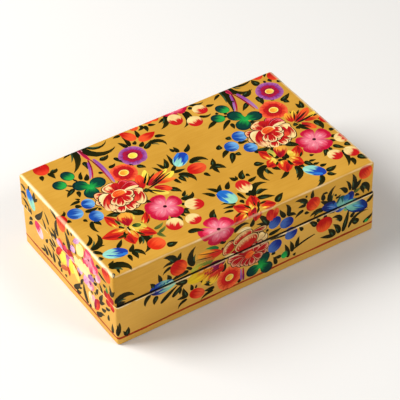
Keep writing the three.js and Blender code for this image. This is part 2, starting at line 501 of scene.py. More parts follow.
def skin(body):
    loop = outline_loop()
    count = len(loop)
    levels = Z_LINES[body]
    rim = levels[-1] if body == "base" else levels[0]
    cap = 0.0 if body == "base" else HEIGHT
    inner_cap = SKIN if body == "base" else HEIGHT - SKIN
    shift = LID_SHIFT if body == "lid" else np.zeros(2)
    bm = bmesh.new()

    def ring(points):
        return [bm.verts.new(Vector(p) * MM) for p in points]

    def band(lower, upper, material, flip=False):
        for k in range(count):
            quad = [lower[k], lower[(k + 1) % count], upper[(k + 1) % count], upper[k]]
            face = bm.faces.new(quad[::-1] if flip else quad)
            face.material_index = material
            face.smooth = True

    walls = []
    for z in levels:
        flat = np.column_stack([loop, np.full(count, z)])
        walls.append(ring(surface(flat, np.zeros(count), body)[0]))
    for lower, upper in zip(walls, walls[1:]):
        band(lower, upper, 0)

    grid_x, grid_y = np.meshgrid(X_LINES, Y_LINES, indexing="ij")
    flat = np.column_stack([grid_x.ravel(), grid_y.ravel(), np.full(grid_x.size, cap)])
    face_points = ring(surface(flat, np.zeros(len(flat)), body)[0])
    columns = len(Y_LINES)
    for i in range(len(X_LINES) - 1):
        for j in range(columns - 1):
            at = i * columns + j
            quad = [face_points[k] for k in (at, at + columns, at + columns + 1, at + 1)]
            face = bm.faces.new(quad if body == "lid" else quad[::-1])
            face.material_index = 0 if body == "lid" else 1
            face.smooth = True

    inside = np.clip(loop, [SKIN - HALF_X, SKIN - HALF_Y], [HALF_X - SKIN, HALF_Y - SKIN]) + shift
    inner = [ring(np.column_stack([inside, np.full(count, z)])) for z in (rim, inner_cap)]
    outer_rim = walls[-1] if body == "base" else walls[0]
    band(outer_rim, inner[0], 1, flip=body == "lid")
    band(inner[0], inner[1], 1, flip=body == "lid")
    bmesh.ops.remove_doubles(bm, verts=bm.verts, dist=0.0002 * MM)
    bmesh.ops.holes_fill(bm, edges=[e for e in bm.edges if e.is_boundary], sides=0)
    for face in bm.faces:
        if len(face.verts) > 4:
            face.material_index = 1
    bmesh.ops.recalc_face_normals(bm, faces=bm.faces)
    open_edges = sum(e.is_boundary for e in bm.edges)
    print(body, "skin:", len(bm.faces), "faces,", open_edges, "open edges")
    made = finish_mesh(f"{body}_shell", bm, [gold, black], body, sharp=50)
    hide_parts(f"{body}_skin")


for body in ("base", "lid"):
    skin(body)

# %% [markdown]
# A thin red-brown line runs round the base a little above the table. It was drawn by hand against
# a guide, so it is not quite level and its width breathes. It is a narrow strip on the surface,
# four rows across, with its two edges sunk just under the gold.

# %% Lining line
LINE_WIDTH = 1.6
LINE_LIFT = 0.03
TUCK = -0.03
LINE_CORNERS = {(-1, -1): 5.2, (1, -1): 6.4, (1, 1): 6.8, (-1, 1): 7.0}


def line_height(point):
    """The lining line drifts between its heights at the four corners."""
    x, y = point[0] / HALF_X, point[1] / HALF_Y
    level_here = sum(h * (1 + x * sx) * (1 + y * sy) / 4 for (sx, sy), h in LINE_CORNERS.items())
    return level_here + 0.12 * math.sin(point[0] / 11 + point[1] / 7)


def lining_paint():
    made, board = new_material("lining_paint")
    place = board.add("ShaderNodeTexCoord", output="Object")
    load = board.smooth(board.noise(place, 120.0, 3.0), 0.3, 0.7)
    board.surface(
        Base_Color=board.mix(load, rgb("94280E"), rgb("B44016")), Roughness=0.4, **CLEAR_COAT
    )
    return made


def lining_line():
    loop = outline_loop()
    count = len(loop)
    rows = []
    bm = bmesh.new()
    for offset, lift in ((-0.5, TUCK), (-0.4, LINE_LIFT), (0.4, LINE_LIFT), (0.5, TUCK)):
        points = []
        for k, (x, y) in enumerate(loop):
            breath = 1 + 0.12 * math.sin(k / 3.1) + 0.08 * math.sin(k / 1.3)
            points.append((x, y, line_height((x, y)) + offset * LINE_WIDTH * breath))
        made, _ = surface(np.array(points), np.full(count, lift), "base")
        rows.append([bm.verts.new(Vector(p) * MM) for p in made])
    for lower, upper in zip(rows, rows[1:]):
        for k in range(count):
            face = bm.faces.new(
                (lower[k], lower[(k + 1) % count], upper[(k + 1) % count], upper[k])
            )
            face.smooth = True
    return finish_mesh("lining_line", bm, [lining_paint()], "base")


lining = lining_line()
print("lining line", len(lining.data.polygons), "faces")

# %% [markdown]
# The painter's colours. Kashmiri flower painting lays a flat colour first and blends a second into
# it from the tip with a dry, split brush, which leaves fine teeth where the two meet.

# %% Colours
INK = "161C0A"
LEAF = ("1A1C06", "2E2808")
LEAF_HEART = ("2E4630", "3A5234")
SIDE_LEAF = ("262008", "40340C")
OLIVE = ("4E5A24", "6C7330")
BRIGHT_GREEN = ("2BB84E", "1B8C46")
ORANGE_RED = ("C81A14", "E2522A")
RED_ORANGE = ("DE3C22", "BE1814")
SCARLET = ("D63420", "EE6038")
RED = ("CC2018", "AA1216")
DEEP_RED = ("9C101A", "BA1A1C")
CRIMSON = ("7E0C2A", "A8163C")
CREAM_RED = ("F2D28A", "C41A1C")
RED_CREAM = ("CC2220", "F0CE84")
CREAM = ("F0CC84", "F6E0A8")
YELLOW = ("E4B836", "ECD054")
PINK = ("F9A2AE", "E8365C")
PALE_PINK = ("FBC4C8", "F27A90")
BLUE = ("1C3C9E", "2E74C8")
BLUE_LILAC = ("18489E", "68A0D0")
NAVY = ("14286C", "1E449E")
AQUA_BLUE = ("92D4C0", "1C3EA0")
BLUE_AQUA = ("226AC0", "92D0B4")
LILAC = ("924A96", "A66CA6")
PURPLE = ("8A2A6A", "A8448A")
VIOLET_RED = ("7C1C4E", "C0203A")
OUTLINE = ("5A2610", "42200E")
FLAME = ("BE1618", "F8D696")
INK_PAIR = (INK, INK)
PURPLE_PINK = ("86307A", "A45C9C")
GREEN_LEAF = ("1E6A34", "3F8A3A")
RED_ORANGE_BUD = ("C41810", "F05A24")
LILAC_BLUE = ("4466AC", "18287C")
print("colours ready, darkest leaf", LEAF[0])

# %% [markdown]
# Each face of the closed box is a sheet of paper to draw on, in millimetres. Paint that runs past a
# sheet's edge carries on round the corner, as the brush did. A place on a sheet is a complex number,
# so a motif is moved, turned and scaled by one product and one sum.


# %% Sheets and places
class Sheet:
    """One face of the closed box, laid flat."""

    def __init__(self, name, origin, along, up, out, low, high):
        self.name = name
        self.origin, self.along, self.up, self.out = map(np.array, (origin, along, up, out))
        self.low = np.array(low)
        self.high = np.array(high)
        self.strokes = []

    def fold(self, flat):
        held = np.clip(flat, self.low, self.high)
        over = np.abs(flat - held).sum(axis=1, keepdims=True)
        return self.origin + held[:, :1] * self.along + held[:, 1:] * self.up - over * self.out


def wall_sheet(name, along, out):
    half = HALF_X if along[0] else HALF_Y
    reach = HALF_Y if along[0] else HALF_X
    origin = [out[0] * reach, out[1] * reach, 0.0]
    return Sheet(name, origin, along, (0, 0, 1), out, (-half, 0), (half, HEIGHT))


TOP = Sheet(
    "top", (0, 0, HEIGHT), (1, 0, 0), (0, 1, 0), (0, 0, 1), (-HALF_X, -HALF_Y), (HALF_X, HALF_Y)
)
FRONT = wall_sheet("front", (1, 0, 0), (0, -1, 0))
BACK = wall_sheet("back", (-1, 0, 0), (0, 1, 0))
LEFT = wall_sheet("left", (0, -1, 0), (-1, 0, 0))
RIGHT = wall_sheet("right", (0, 1, 0), (1, 0, 0))


class Place:
    """Where a motif is painted: a sheet, a shift and a turn."""

    def __init__(self, sheet, at=0, turn=1):
        self.sheet = sheet
        self.at = at
        self.turn = turn

    def to(self, point):
        return self.at + self.turn * point

    def inside(self, at, turn=1):
        return Place(self.sheet, self.to(at), self.turn * turn)


print("sheets", [s.name for s in (TOP, FRONT, BACK, LEFT, RIGHT)])

# %% [markdown]
# One brush stroke is a ribbon along an arc. Two powers set its outline: how fast it swells from the
# foot and how fast it closes at the tip. An even pair makes a berry, an uneven one a comma leaf or a
# petal. Its level says what it is painted over.

# %% Brush strokes
SHAPES = {
    "oval": (0.5, 0.5),
    "comma": (0.45, 1.0),
    "flame": (0.55, 0.9),
    "lance": (0.7, 0.62),
    "petal": (0.85, 0.36),
    "needle": (0.8, 0.8),
    "stem": (0.22, 0.34),
    "crescent": (0.6, 0.6),
}
BROAD_LEAF = 3.4
MOST_BEND = 2.6

# Blends: where the tip's colour starts along the stroke, how softly and how raggedly it does
SOFT = (0.5, 0.6, 0.5)
SOFT_LATE = (0.6, 0.6, 0.5)
EVEN = (0.5, 0.5, 0.5)
EARLY = (0.4, 0.5, 0.5)
STREAKED = (0.5, 0.35, 0.8)
TEETH = (0.5, 0.24, 0.7)
TORN = (0.66, 0.3, 1.0)
rng = random.Random(7)


def dab(place, foot, tip, width, paint, shape="petal", bend=0.0, level=1, blend=(0.5, 0.3, 0.3)):
    """Adds one stroke to the place's sheet."""
    start = place.to(foot)
    chord = place.to(tip) - start
    if abs(bend) < 0.02:
        bend = 0.02
    place.sheet.strokes.append(
        {
            "kind": "leaves" if paint in (LEAF, LEAF_HEART, OLIVE, SIDE_LEAF) else "flowers",
            "foot": (start.real, start.imag),
            "chord": (chord.real, chord.imag, bend),
            "width": width * abs(place.turn),
            "shape": SHAPES[shape],
            "paint": paint,
            "blend": blend,
            "level": level,
            "seed": rng.random(),
        }
    )


def leaf(place, foot, tip, width, bend=None, paint=LEAF):
    """A comma leaf, round at the foot and drawn out to a point. A broad one has a greener heart."""
    if bend is None:
        bend = rng.choice((-1, 1)) * rng.uniform(0.3, 0.6)
    if paint is LEAF and place.sheet in (LEFT, RIGHT):
        paint = SIDE_LEAF
    bend = max(-MOST_BEND, min(MOST_BEND, bend * 1.6))
    way = tip - foot
    tip = tip + way * 0.16
    dab(place, foot - way * 0.03, tip, width * 1.04, paint, "comma", bend, level=1, blend=(0.55, 0.6, 0.4))
    if width >= BROAD_LEAF and paint is LEAF:
        dab(place, foot + way * 0.14, foot + way * 0.66, width * 0.3, LEAF_HEART, "needle", bend * 0.6, 2)


def leaves(place, rows, paint=LEAF):
    for row in rows:
        leaf(place, *row, paint=paint)


def berry(place, centre, length, width, angle, paint, blend=(0.5, 0.7, 0.25), level=2):
    """A round bud painted from one end to the other."""
    way = cmath.rect(length / 2, math.radians(angle))
    dab(place, centre - way, centre + way, width, paint, "oval", 0.0, level, blend)


def tulip_bud(place, centre, length, width, angle, paint, level=2):
    """A bud in two colours that meet in a row of fine teeth."""
    berry(place, centre, length, width, angle, paint, TEETH, level)
    way = cmath.rect(length / 2, math.radians(angle))
    for lean in (-0.3, 0.32):
        side = way * 1j * lean * width / length
        dab(place, centre + way * 0.95, centre - way * 0.1 + side, width * 0.1, (paint[1], paint[1]),
            "needle", 0, level + 1)


print("shapes", sorted(SHAPES))

# %% [markdown]
# The flowers of the pattern. Each is built the way it is painted: petals from the centre outwards,
# then the ring, then the eye, with a level for every coat.

# %% Daisies and blossoms
def daisy(place, centre, radius, ring, eye, petals, rings, heart, count=13):
    step = 2 * math.pi / count
    for k in range(count):
        way = cmath.rect(1, k * step + rng.uniform(-0.08, 0.08))
        far = radius * rng.uniform(0.95, 1.03)
        dab(place, centre + way * ring * 0.3, centre + way * far, radius * step * 1.5, petals, "petal",
            0, 1, (0.75, 0.4, 0.3))
    for k in range(count):
        way = cmath.rect(1, (k + 0.5) * step + rng.uniform(-0.1, 0.1))
        far = ring * rng.uniform(0.92, 1.12)
        dab(place, centre + way * eye * 0.3, centre + way * far, ring * step * 1.5, rings, "petal",
            0, 2, (0.5, 0.5, 0.4))
    dab(place, centre - eye * 1.05, centre + eye * 1.05, eye * 1.95, ("F7E27A", "F7E27A"), "oval", 0, 3)
    dab(place, centre - eye * 0.85, centre + eye * 0.85, eye * 1.55, heart, "oval", 0, 4, SOFT_LATE)


def blossom(place, centre, tips, pale="E2607A", deep="C01236", eye=1.2):
    """Five round petals, pink at the root and crimson at the notched tip."""
    for tip in tips:
        way = tip - centre
        for lean in (-0.23, 0.23):
            dab(place, centre + way * 0.04, centre + way * cmath.rect(1, lean), abs(way) * 0.62,
                (pale, deep), "petal", lean * 0.9, 1, (0.58, 0.5, 0.3))
        dab(place, centre, centre + way * 0.8, abs(way) * 0.5, ("EE8090", "D42C4C"), "petal", 0, 2,
            (0.7, 0.6, 0.6))
        for lean in (-0.14, 0.02, 0.15):
            dab(place, centre + way * 0.24, centre + way * cmath.rect(0.78, lean), abs(way) * 0.045,
                ("F8B4B8", "E2506E"), "needle", 0, 3)
    dab(place, centre - eye, centre + eye, eye * 2, ("4A0E1C", "2A0C14"), "oval", 0, 4)


print("round flowers ready")


# %% Trefoils and buds
def trefoil(place, centre, lobes):
    """Three round lobes of green that darken to their edges and meet in a bright middle."""
    for middle, size in lobes:
        way = (middle - centre) / abs(middle - centre)
        far = middle + way * size / 2
        near = middle - way * size * 0.56
        dab(place, near, far, size, ("0E4A38", "08282C"), "oval", 0, 1, (0.5, 0.5, 0.4))
        dab(place, centre - way * 1.6, far - way * size * 0.16, size * 0.78, ("1E9C40", "0A3E32"),
            "petal", 0, 2, (0.44, 0.5, 0.6))
    berry(place, centre, 4.8, 4.4, 90, ("26A848", "1C9440"), level=3)


def buds(place, rows, paint, blend=SOFT):
    for row in rows:
        berry(place, *row, paint, blend)


def tulip_buds(place, rows, paint=CREAM_RED):
    for row in rows:
        tulip_bud(place, *row, paint)


def blue_buds(place, rows):
    """Round blue buds, each with a dark crescent along its lower side."""
    for centre, length, width, angle in rows:
        berry(place, centre, length, width, angle, BLUE_LILAC, (0.58, 0.6, 0.75))
        dab(place, centre - 3.4 - 2.2j, centre + 2.4 - 4j, 1, NAVY, "crescent", 0.7, 3)


def blue_edge(place, foot, tip, width, bend=0.5, blend=EARLY):
    """A dark blue stroke along the side of a blue tulip bud."""
    dab(place, foot, tip, width, BLUE, "petal", bend, 3, blend)


def green_bud(place, centre, length, width, angle):
    """A round bud, dark at its far end and bright where the light falls."""
    berry(place, centre, length, width, angle, ("0C4034", "08282C"), level=1)
    berry(place, centre - cmath.rect(0.4, math.radians(angle)), length * 0.88, width * 0.84, angle,
          ("2AA444", "0A3832"), (0.5, 0.6, 0.6), 2)


print("trefoils and buds ready")

# %% [markdown]
# The peony is the pattern's largest flower. Each petal is three strokes on top of each other: a
# brown outline, a cream edge and a red stroke whose tip is torn into streaks. Petals laid like a hand
# of cards make its skirt and its bowl. The one on the front wall is half closed and seen from its side.


# %% Peonies
def frilled(place, foot, tip, width, level, paint, bend=0, blend=(0.88, 0.26, 0.8)):
    """A peony petal: a brown outline, a cream edge and one streaky stroke within it."""
    unit = (tip - foot) / abs(tip - foot)
    dab(place, foot - unit * 0.3, tip + unit * 0.45, width + 1, OUTLINE, "petal", bend, level)
    dab(place, foot, tip, width, (paint[1], paint[1]), "petal", bend, level + 1, blend)
    dab(place, foot, tip - unit * 0.5, width - 1.1, paint, "petal", bend, level + 2, blend)


def fan(place, foot, tips, width, level, paint):
    """Petals that overlap like a hand of cards, every second one on top."""
    for k, tip in enumerate(tips):
        frilled(place, foot + (tip - foot) * 0.15, tip, width, level + 3 * (k % 2), paint)


def peony(place, centre, turn=1):
    """The full flower: outer petals, a cupped one on the left, a bowl and an orange heart."""
    spot = place.inside(centre, turn)
    cream = ("D8502C", "F8D090")
    frilled(spot, -0.5+4j, -2.6+13.2j, 9.4, 1, cream)
    dab(spot, 0.2+4.6j, 2.6+12.4j, 4.8, DEEP_RED, "petal", 0.2, 4, (0.5, 0.5, 0.6))
    dab(spot, -2.4+4.6j, -3.0+11.4j, 4.4, FLAME, "petal", 0, 4, (0.72, 0.4, 0.8))
    frilled(spot, -7-1j, -14.8+3.6j, 5.6, 1, ("B8201C", "F0C480"), -0.3)
    frilled(spot, -4+3j, -13.2+8j, 6.6, 4, ("BE1A1A", "F2B478"), 0.3)
    frilled(spot, 2+5j, 9.4+10.6j, 7, 1, ("B81418", "E8505A"), 0.2)
    frilled(spot, 2.5+5.2j, 13.4+4.8j, 8.2, 4, ("AE101A", "E6606A"), 0.2)
    dab(spot, 4.0+3.4j, 13.6+2.4j, 2.6, ("F8DCA0", "F6D48C"), "lance", -0.4, 7)
    frilled(spot, 4.2+1j, 13.4-2.4j, 5.6, 7, ("C01A1A", "F6D890"), -0.2, (0.6, 0.35, 0.7))
    fan(spot, -1-3j, [-10.2-9.4j, -7.2-12j, -3.2-12.4j, 0.6-13.8j, 4.0-13.2j, 6.8-11.2j],
        5.8, 1, FLAME)
    frilled(spot, 12.2-1.4j, 6.0-11.6j, 6, 7, ("B8181A", "F0D48C"), -0.5, (0.66, 0.4, 0.8))
    dab(spot, 9.4+0j, 4.8-8.6j, 5.2, ("BE161A", "DE4A30"), "petal", -0.1, 10, (0.6, 0.5, 0.6))
    frilled(spot, -10.4-8.6j, -5.2+6.4j, 10.4, 10, ("F0CE88", "F8DCA0"), -0.6)
    dab(spot, -3.9+6j, -9.6-7.8j, 9.4, ("B81418", "F2C488"), "petal", 0.55, 13, (0.74, 0.4, 1))
    dab(spot, -4.6+5j, -8.6-2.8j, 4.6, ("A8101A", "DC3A24"), "petal", 0.4, 14, (0.6, 0.5, 0.7))
    fan(spot, 0.2+2.6j, [-7.0-4.6j, -4.4-7.6j, -0.8-8.2j, 2.8-7.2j, 5.8-4.8j, 7.6-1.2j],
        5.8, 15, FLAME)
    dab(spot, -4.7+2.2j, 4.8+2.4j, 7.6, ("F6C880", "FBDE9E"), "oval", 0, 21)
    dab(spot, -4.0+2.5j, 4.0+2.7j, 6.4, ("E84C1E", "F07C30"), "oval", 0, 22, (0.6, 0.7, 0.5))
    dab(spot, -5.0+0.9j, 5.2+1.2j, 2.4, ("9A0C14", "C41C1C"), "crescent", 1.1, 23)
    for k in range(6):
        dab(spot, -2.8 + 1.1 * k + 1.6j, -3.3 + 1.3 * k + 4.8j, 0.4, ("D0341E", "F4A850"), "needle", 0, 24)


def cup(place, foot, tip, width, level, paint):
    """A long petal seen from its side: red low down, with strokes that feather into a cream rim."""
    unit = (tip - foot) / abs(tip - foot)
    dab(place, foot - unit * 0.4, tip + unit * 0.4, width + 0.9, OUTLINE, "oval", 0, level)
    dab(place, foot, tip, width, (paint[1], paint[1]), "oval", 0, level + 1)
    dab(place, foot, tip - unit * 0.5, width - 1.2, paint, "oval", 0, level + 2, (0.74, 0.5, 0.3))
    for k in range(-4, 5):
        side = unit * 1j * width * k / 11
        far = foot + (tip - foot) * (0.92 - 0.018 * k * k) + side
        dab(place, far - (tip - foot) * 0.42, far, 0.62, (paint[0], "F0D08C"), "needle", 0, level + 3)


def cupped_peony(place):
    """The front flower, half closed: three long cups above the seam and a red fan below it."""
    ripe = ("BE1A14", "E2B878")
    ruby = ("B01218", "E8A078")
    dab(place, -13+29.4j, 10.6+29.4j, 9, ("A01216", "C4261C"), "oval", 0, 1)
    for foot, tips, width, level, paint in (
        (4.6+31j, [7.6+37.2j, 10.8+35.8j, 13.4+32.4j], 5.2, 2, ("E0B878", "F0D08C")),
        (-3+25.6j, [-15.2+27.4j, -13+22.8j, -8.6+19.6j, -4.6+18.2j], 5.4, 2, ruby),
        (1+24j, [-2.6+17.2j, 1.6+16.2j, 5.8+16.8j, 8.4+19.6j], 5, 8, ruby),
        (2+24.6j, [12+22.6j, 13+26.4j, 10.2+29.4j, 5.6+29.6j], 5, 8, ruby),
    ):
        fan(place, foot, tips, width, level, paint)
    cup(place, -10.6+33.6j, -15.8+38.2j, 10.6, 2, ripe)
    cup(place, -2.6+35.6j, -5+43j, 13.6, 6, ripe)
    cup(place, 0.2+29.2j, -2.6+38.6j, 16.4, 10, ripe)
    frilled(place, 2.6+40.4j, 12.6+39.2j, 3.6, 8, ("A41218", "DCB478"))
    dab(place, -3.4+23.9j, 2.6+25.6j, 5, ("E4481E", "EE702C"), "oval", 0, 15, (0.6, 0.7, 0.5))
    dab(place, -16.6+30.4j, -9.6+29.4j, 2.2, CREAM, "lance", 0.1, 14)


print("peonies ready")


# %% Stems, lilies and stars
def stem(place, foot, tip, width, bend, paint=CRIMSON, edge=None):
    """One long stroke, over a wider one where it has a pale edge."""
    if edge:
        dab(place, foot, tip, width + 0.9, edge, "stem", bend, 1)
    dab(place, foot, tip, width, paint, "stem", bend, 2)


def stems(place, rows):
    for row in rows:
        stem(place, *row)


def petals(place, rows):
    """Loose petals of lilies and star clusters: foot, tip, width, colours and a bend."""
    for foot, tip, width, paint, *bend in rows:
        dab(place, foot, tip, width * 1.14, paint, "lance", bend[0] if bend else 0.15, 2, STREAKED)


def flames(place, rows):
    """Pointed petals of a star cluster: yellow at the root, red to the tip, dark along one edge."""
    for foot, tip, width, *bend in rows:
        hook = bend[0] if bend else 0.2
        way = tip - foot
        dab(place, foot, tip, width * 1.08, ("E2A032", "CA2816"), "flame", hook, 2, (0.12, 0.3, 0.9))
        rim = way * 1j * math.copysign(width / abs(way) * 0.34, hook)
        dab(place, foot + way * 0.02 + rim * 0.5, foot + way * 0.56 + rim * 0.6, width * 0.22,
            ("F2CC4C", "E8762A"), "needle", hook * 0.8, 3)
        edge = way * 1j * math.copysign(width / abs(way) * 0.22, -hook)
        dab(place, foot + way * 0.3 + edge, foot + way * 0.96, width * 0.3, ("B0141A", "8C1014"), "flame",
            hook * 1.3, 3, (0.5, 0.6, 0.6))
        dab(place, foot + edge * 1.4, foot + way * 0.5 + edge * 2, width * 0.24, ("1A1E08", "302C0C"),
            "needle", hook, 4)


def veins(place, rows, paint=OUTLINE, width=0.55):
    for foot, tip, *bend in rows:
        dab(place, foot, tip, width, paint, "needle", bend[0] if bend else 0.1, 5)


print("stems, lilies and stars ready")

# %% [markdown]
# The lid's top, read from left to right. Each spray hangs from a pair of stems at the back edge: green
# trefoil, two daisies, a peony, a lily, a five-petalled blossom and a cluster of red petals, with
# buds round them. Leaves are written as foot, tip and width, then the bend where it matters.

# %% Top of the lid, left spray
top = Place(TOP)


def left_spray():
    berry(top, -76.8+49.8j, 11.5, 10, 80, RED_ORANGE, (0.35, 0.5, 0.5))
    leaves(top, [
        (-80+44.4j, -81.2+40.4j, 3, -0.3), (-75.2+44.2j, -74+38.4j, 3, -0.3),
        (-73.8+43.4j, -72.6+41j, 1.8, 0.2), (-73+45.2j, -69.2+45.6j, 3.8, 1.4),
    ])
    green_bud(top, -67+35.8j, 9.2, 8, 110)
    green_bud(top, -75+31j, 8.8, 8.2, 135)
    veins(top, [(-72+29j, -67.5+25j), (-65.8+32j, -64.3+28j)], INK_PAIR, 1.5)
    trefoil(top, -60.5+20j, [(-65.3+24.3j, 9), (-54.8+21.2j, 9.4), (-62.8+14.8j, 9.4)])
    leaves(top, [(-61.6+28.4j, -58.6+34j, 2.6, -0.5), (-60+26.2j, -57+30.8j, 3.2, 0.3)])
    stems(top, [
        (-49.8+57j, -48.6+41j, 2.2, 0.1, CRIMSON, PINK),
        (-49.6+42j, -55.8+25.5j, 1.3, -0.35), (-50.8+40j, -57.2+26j, 1.8, -0.35, LILAC),
        (-48.3+42j, -48.2+16j, 1.1, -0.25), (-46.6+41j, -46.8+15.5j, 2.4, -0.28, LILAC),
    ])
    leaves(top, [
        (-53.4+57.4j, -61.6+38.8j, 4.4, -0.8), (-55.2+52.6j, -60.4+50.8j, 2, 0.4),
        (-46.2+56j, -31.4+45.8j, 5, 2.3), (-44.5+53.8j, -32.8+52.6j, 2.2, 1.5),
        (-53.2+41.5j, -54+35.6j, 3.4, -0.7), (-43.4+38.8j, -38+39.8j, 3.8, 1.1),
        (-50.4+28.2j, -48.2+26.4j, 2.2, -0.3), (-42.8+29.2j, -38.4+30.4j, 2.8, 0.8),
    ])
    daisy(top, -25.3+30.7j, 8.7, 5.9, 2.8, PURPLE_PINK, CRIMSON, ("F0C840", "EEDC50"))
    daisy(top, -38+20j, 8.3, 5.7, 3, SCARLET, DEEP_RED, ("F29A30", "F8C63E"))
    leaves(top, [
        (-36+34.8j, -33.4+28.2j, 3, -0.3), (-24.2+38.8j, -26.6+45j, 3, 0.3),
        (-22.4+39.2j, -22.2+47.8j, 3, 0.5), (-19.4+39j, -17.2+41.4j, 2.8, 0.2),
        (-17.2+35j, -13.8+38.4j, 3.2, 0.2), (-16+32.2j, -9.4+36.6j, 3.6, 0.3),
        (-11.4+33.8j, -4.4+28.4j, 3.6, -1.7), (-5+38.4j, 0.2+35.8j, 3.2, -0.4), (-31.2+25j, -29.6+23j, 2.6),
        (-28.6+20.6j, -25+17.2j, 3.4, -0.6), (-42.8+13j, -41+11.8j, 2.4),
    ])
    blue_buds(top, [
        (-80+4.3j, 9.6, 9.6, -20), (-69.5+7.8j, 8, 9, -15), (-71-4j, 8.6, 9.8, -10),
    ])
    leaves(top, [
        (-69.6+23.6j, -75.8+19.6j, 3.4, 0.2), (-73+23.4j, -74.2+25.6j, 1.4, 0.2),
        (-68.8+20.6j, -70.4+15.8j, 2.8, -0.2), (-71.8+13.2j, -73.6+15.4j, 1.8, 0.2),
        (-72.4+12.2j, -78.4+11.8j, 2.6, 0.3), (-77+9.6j, -74+7.4j, 3.2, -0.3),
        (-88.4+6.4j, -85+9.6j, 2.4, 1), (-87.2+1.2j, -85.6-0.8j, 2.8, -0.3),
        (-74.2+2.8j, -66.8+2.4j, 3.2, 0.5), (-65.3+5.8j, -63.4+4.8j, 2.2), (-67+0.6j, -65.4-0.8j, 2.4),
        (-78.8-2.8j, -77.8-5.4j, 2.4, -0.3), (-75.2-7j, -76.2-15.8j, 2.8, 0.9),
        (-74.6-7.4j, -72.8-12j, 3, -0.5),
    ])
    peony(top, -50.3+2.8j)
    veins(top, [
        (-31+2.5j, -15.5+9.5j), (-34+5j, -26.3+13j), (-25+2.2j, -14.5+5.2j),
    ], INK_PAIR, 1.1)
    petals(top, [
        (-35.6+1.6j, -31.6+13.4j, 5.6, ("BC1A18", "EE4A24"), -0.4),
        (-34.2+3.6j, -26.6+15.6j, 3.8, ("EE9A30", "F2DC50"), 0.3),
        (-32.2+1.9j, -17.6+9j, 5.4, ("B01420", "EC5426"), 0.2),
        (-25.5+4.4j, -15.0+9.4j, 2.6, ("EE7A2C", "F4DC48"), 0.1),
        (-24+1.6j, -12.8+5.2j, 3.8, ("EE8A2C", "F0D848"), 0.2),
        (-32.5-1.4j, -25.4-10.2j, 4.6, YELLOW, 0.3),
        (-30-0.4j, -21.8-7.8j, 5, ("B4181C", "E84A24"), 0.2),
        (-27+0.8j, -15-1j, 3.2, ("D83A1E", "EC7A2C"), -0.2),
    ])
    veins(top, [
        (-34-0.2j, -18.4+3.8j), (-31+1.6j, -17.5+6.6j), (-33.5+4.5j, -28.5+11j),
        (-34-1j, -26.4-8.2j),
    ], ("1C1410", "2A1A14"), 1.7)
    leaves(top, [
        (-32.4+2.6j, -27.4+10j, 2.8, 0.2), (-31.4+2.8j, -23.8+9.4j, 2.6, -0.2),
        (-34-1.6j, -29.4-8.2j, 2.4, 0.2), (-36.4+0.2j, -33.2-1.2j, 3.6),
        (-19.4+8.4j, -21.8+14.2j, 2.4, 0.5), (-16.4+10j, -17.8+15.6j, 2.4, 0.3),
        (-15.4+9.8j, -12.2+17.2j, 3.4, 0.5), (-13.8+6j, -9.8+10.2j, 2.8, 0.7),
        (-10.2+10j, -8.6+19.4j, 2.4, 0.2), (-13.6+4.2j, -6.8+3.2j, 3, 0.1), (-16.4-1j, -15-6.2j, 2.6, 0.2),
        (-13-1j, -12-6.6j, 3.4, -0.2), (-12.4+0.2j, -7.4-8.8j, 4, -1.1), (-23.4-7.2j, -19.4-12.6j, 4, -0.5),
    ])


left_spray()
print("left spray:", len(TOP.strokes), "strokes")


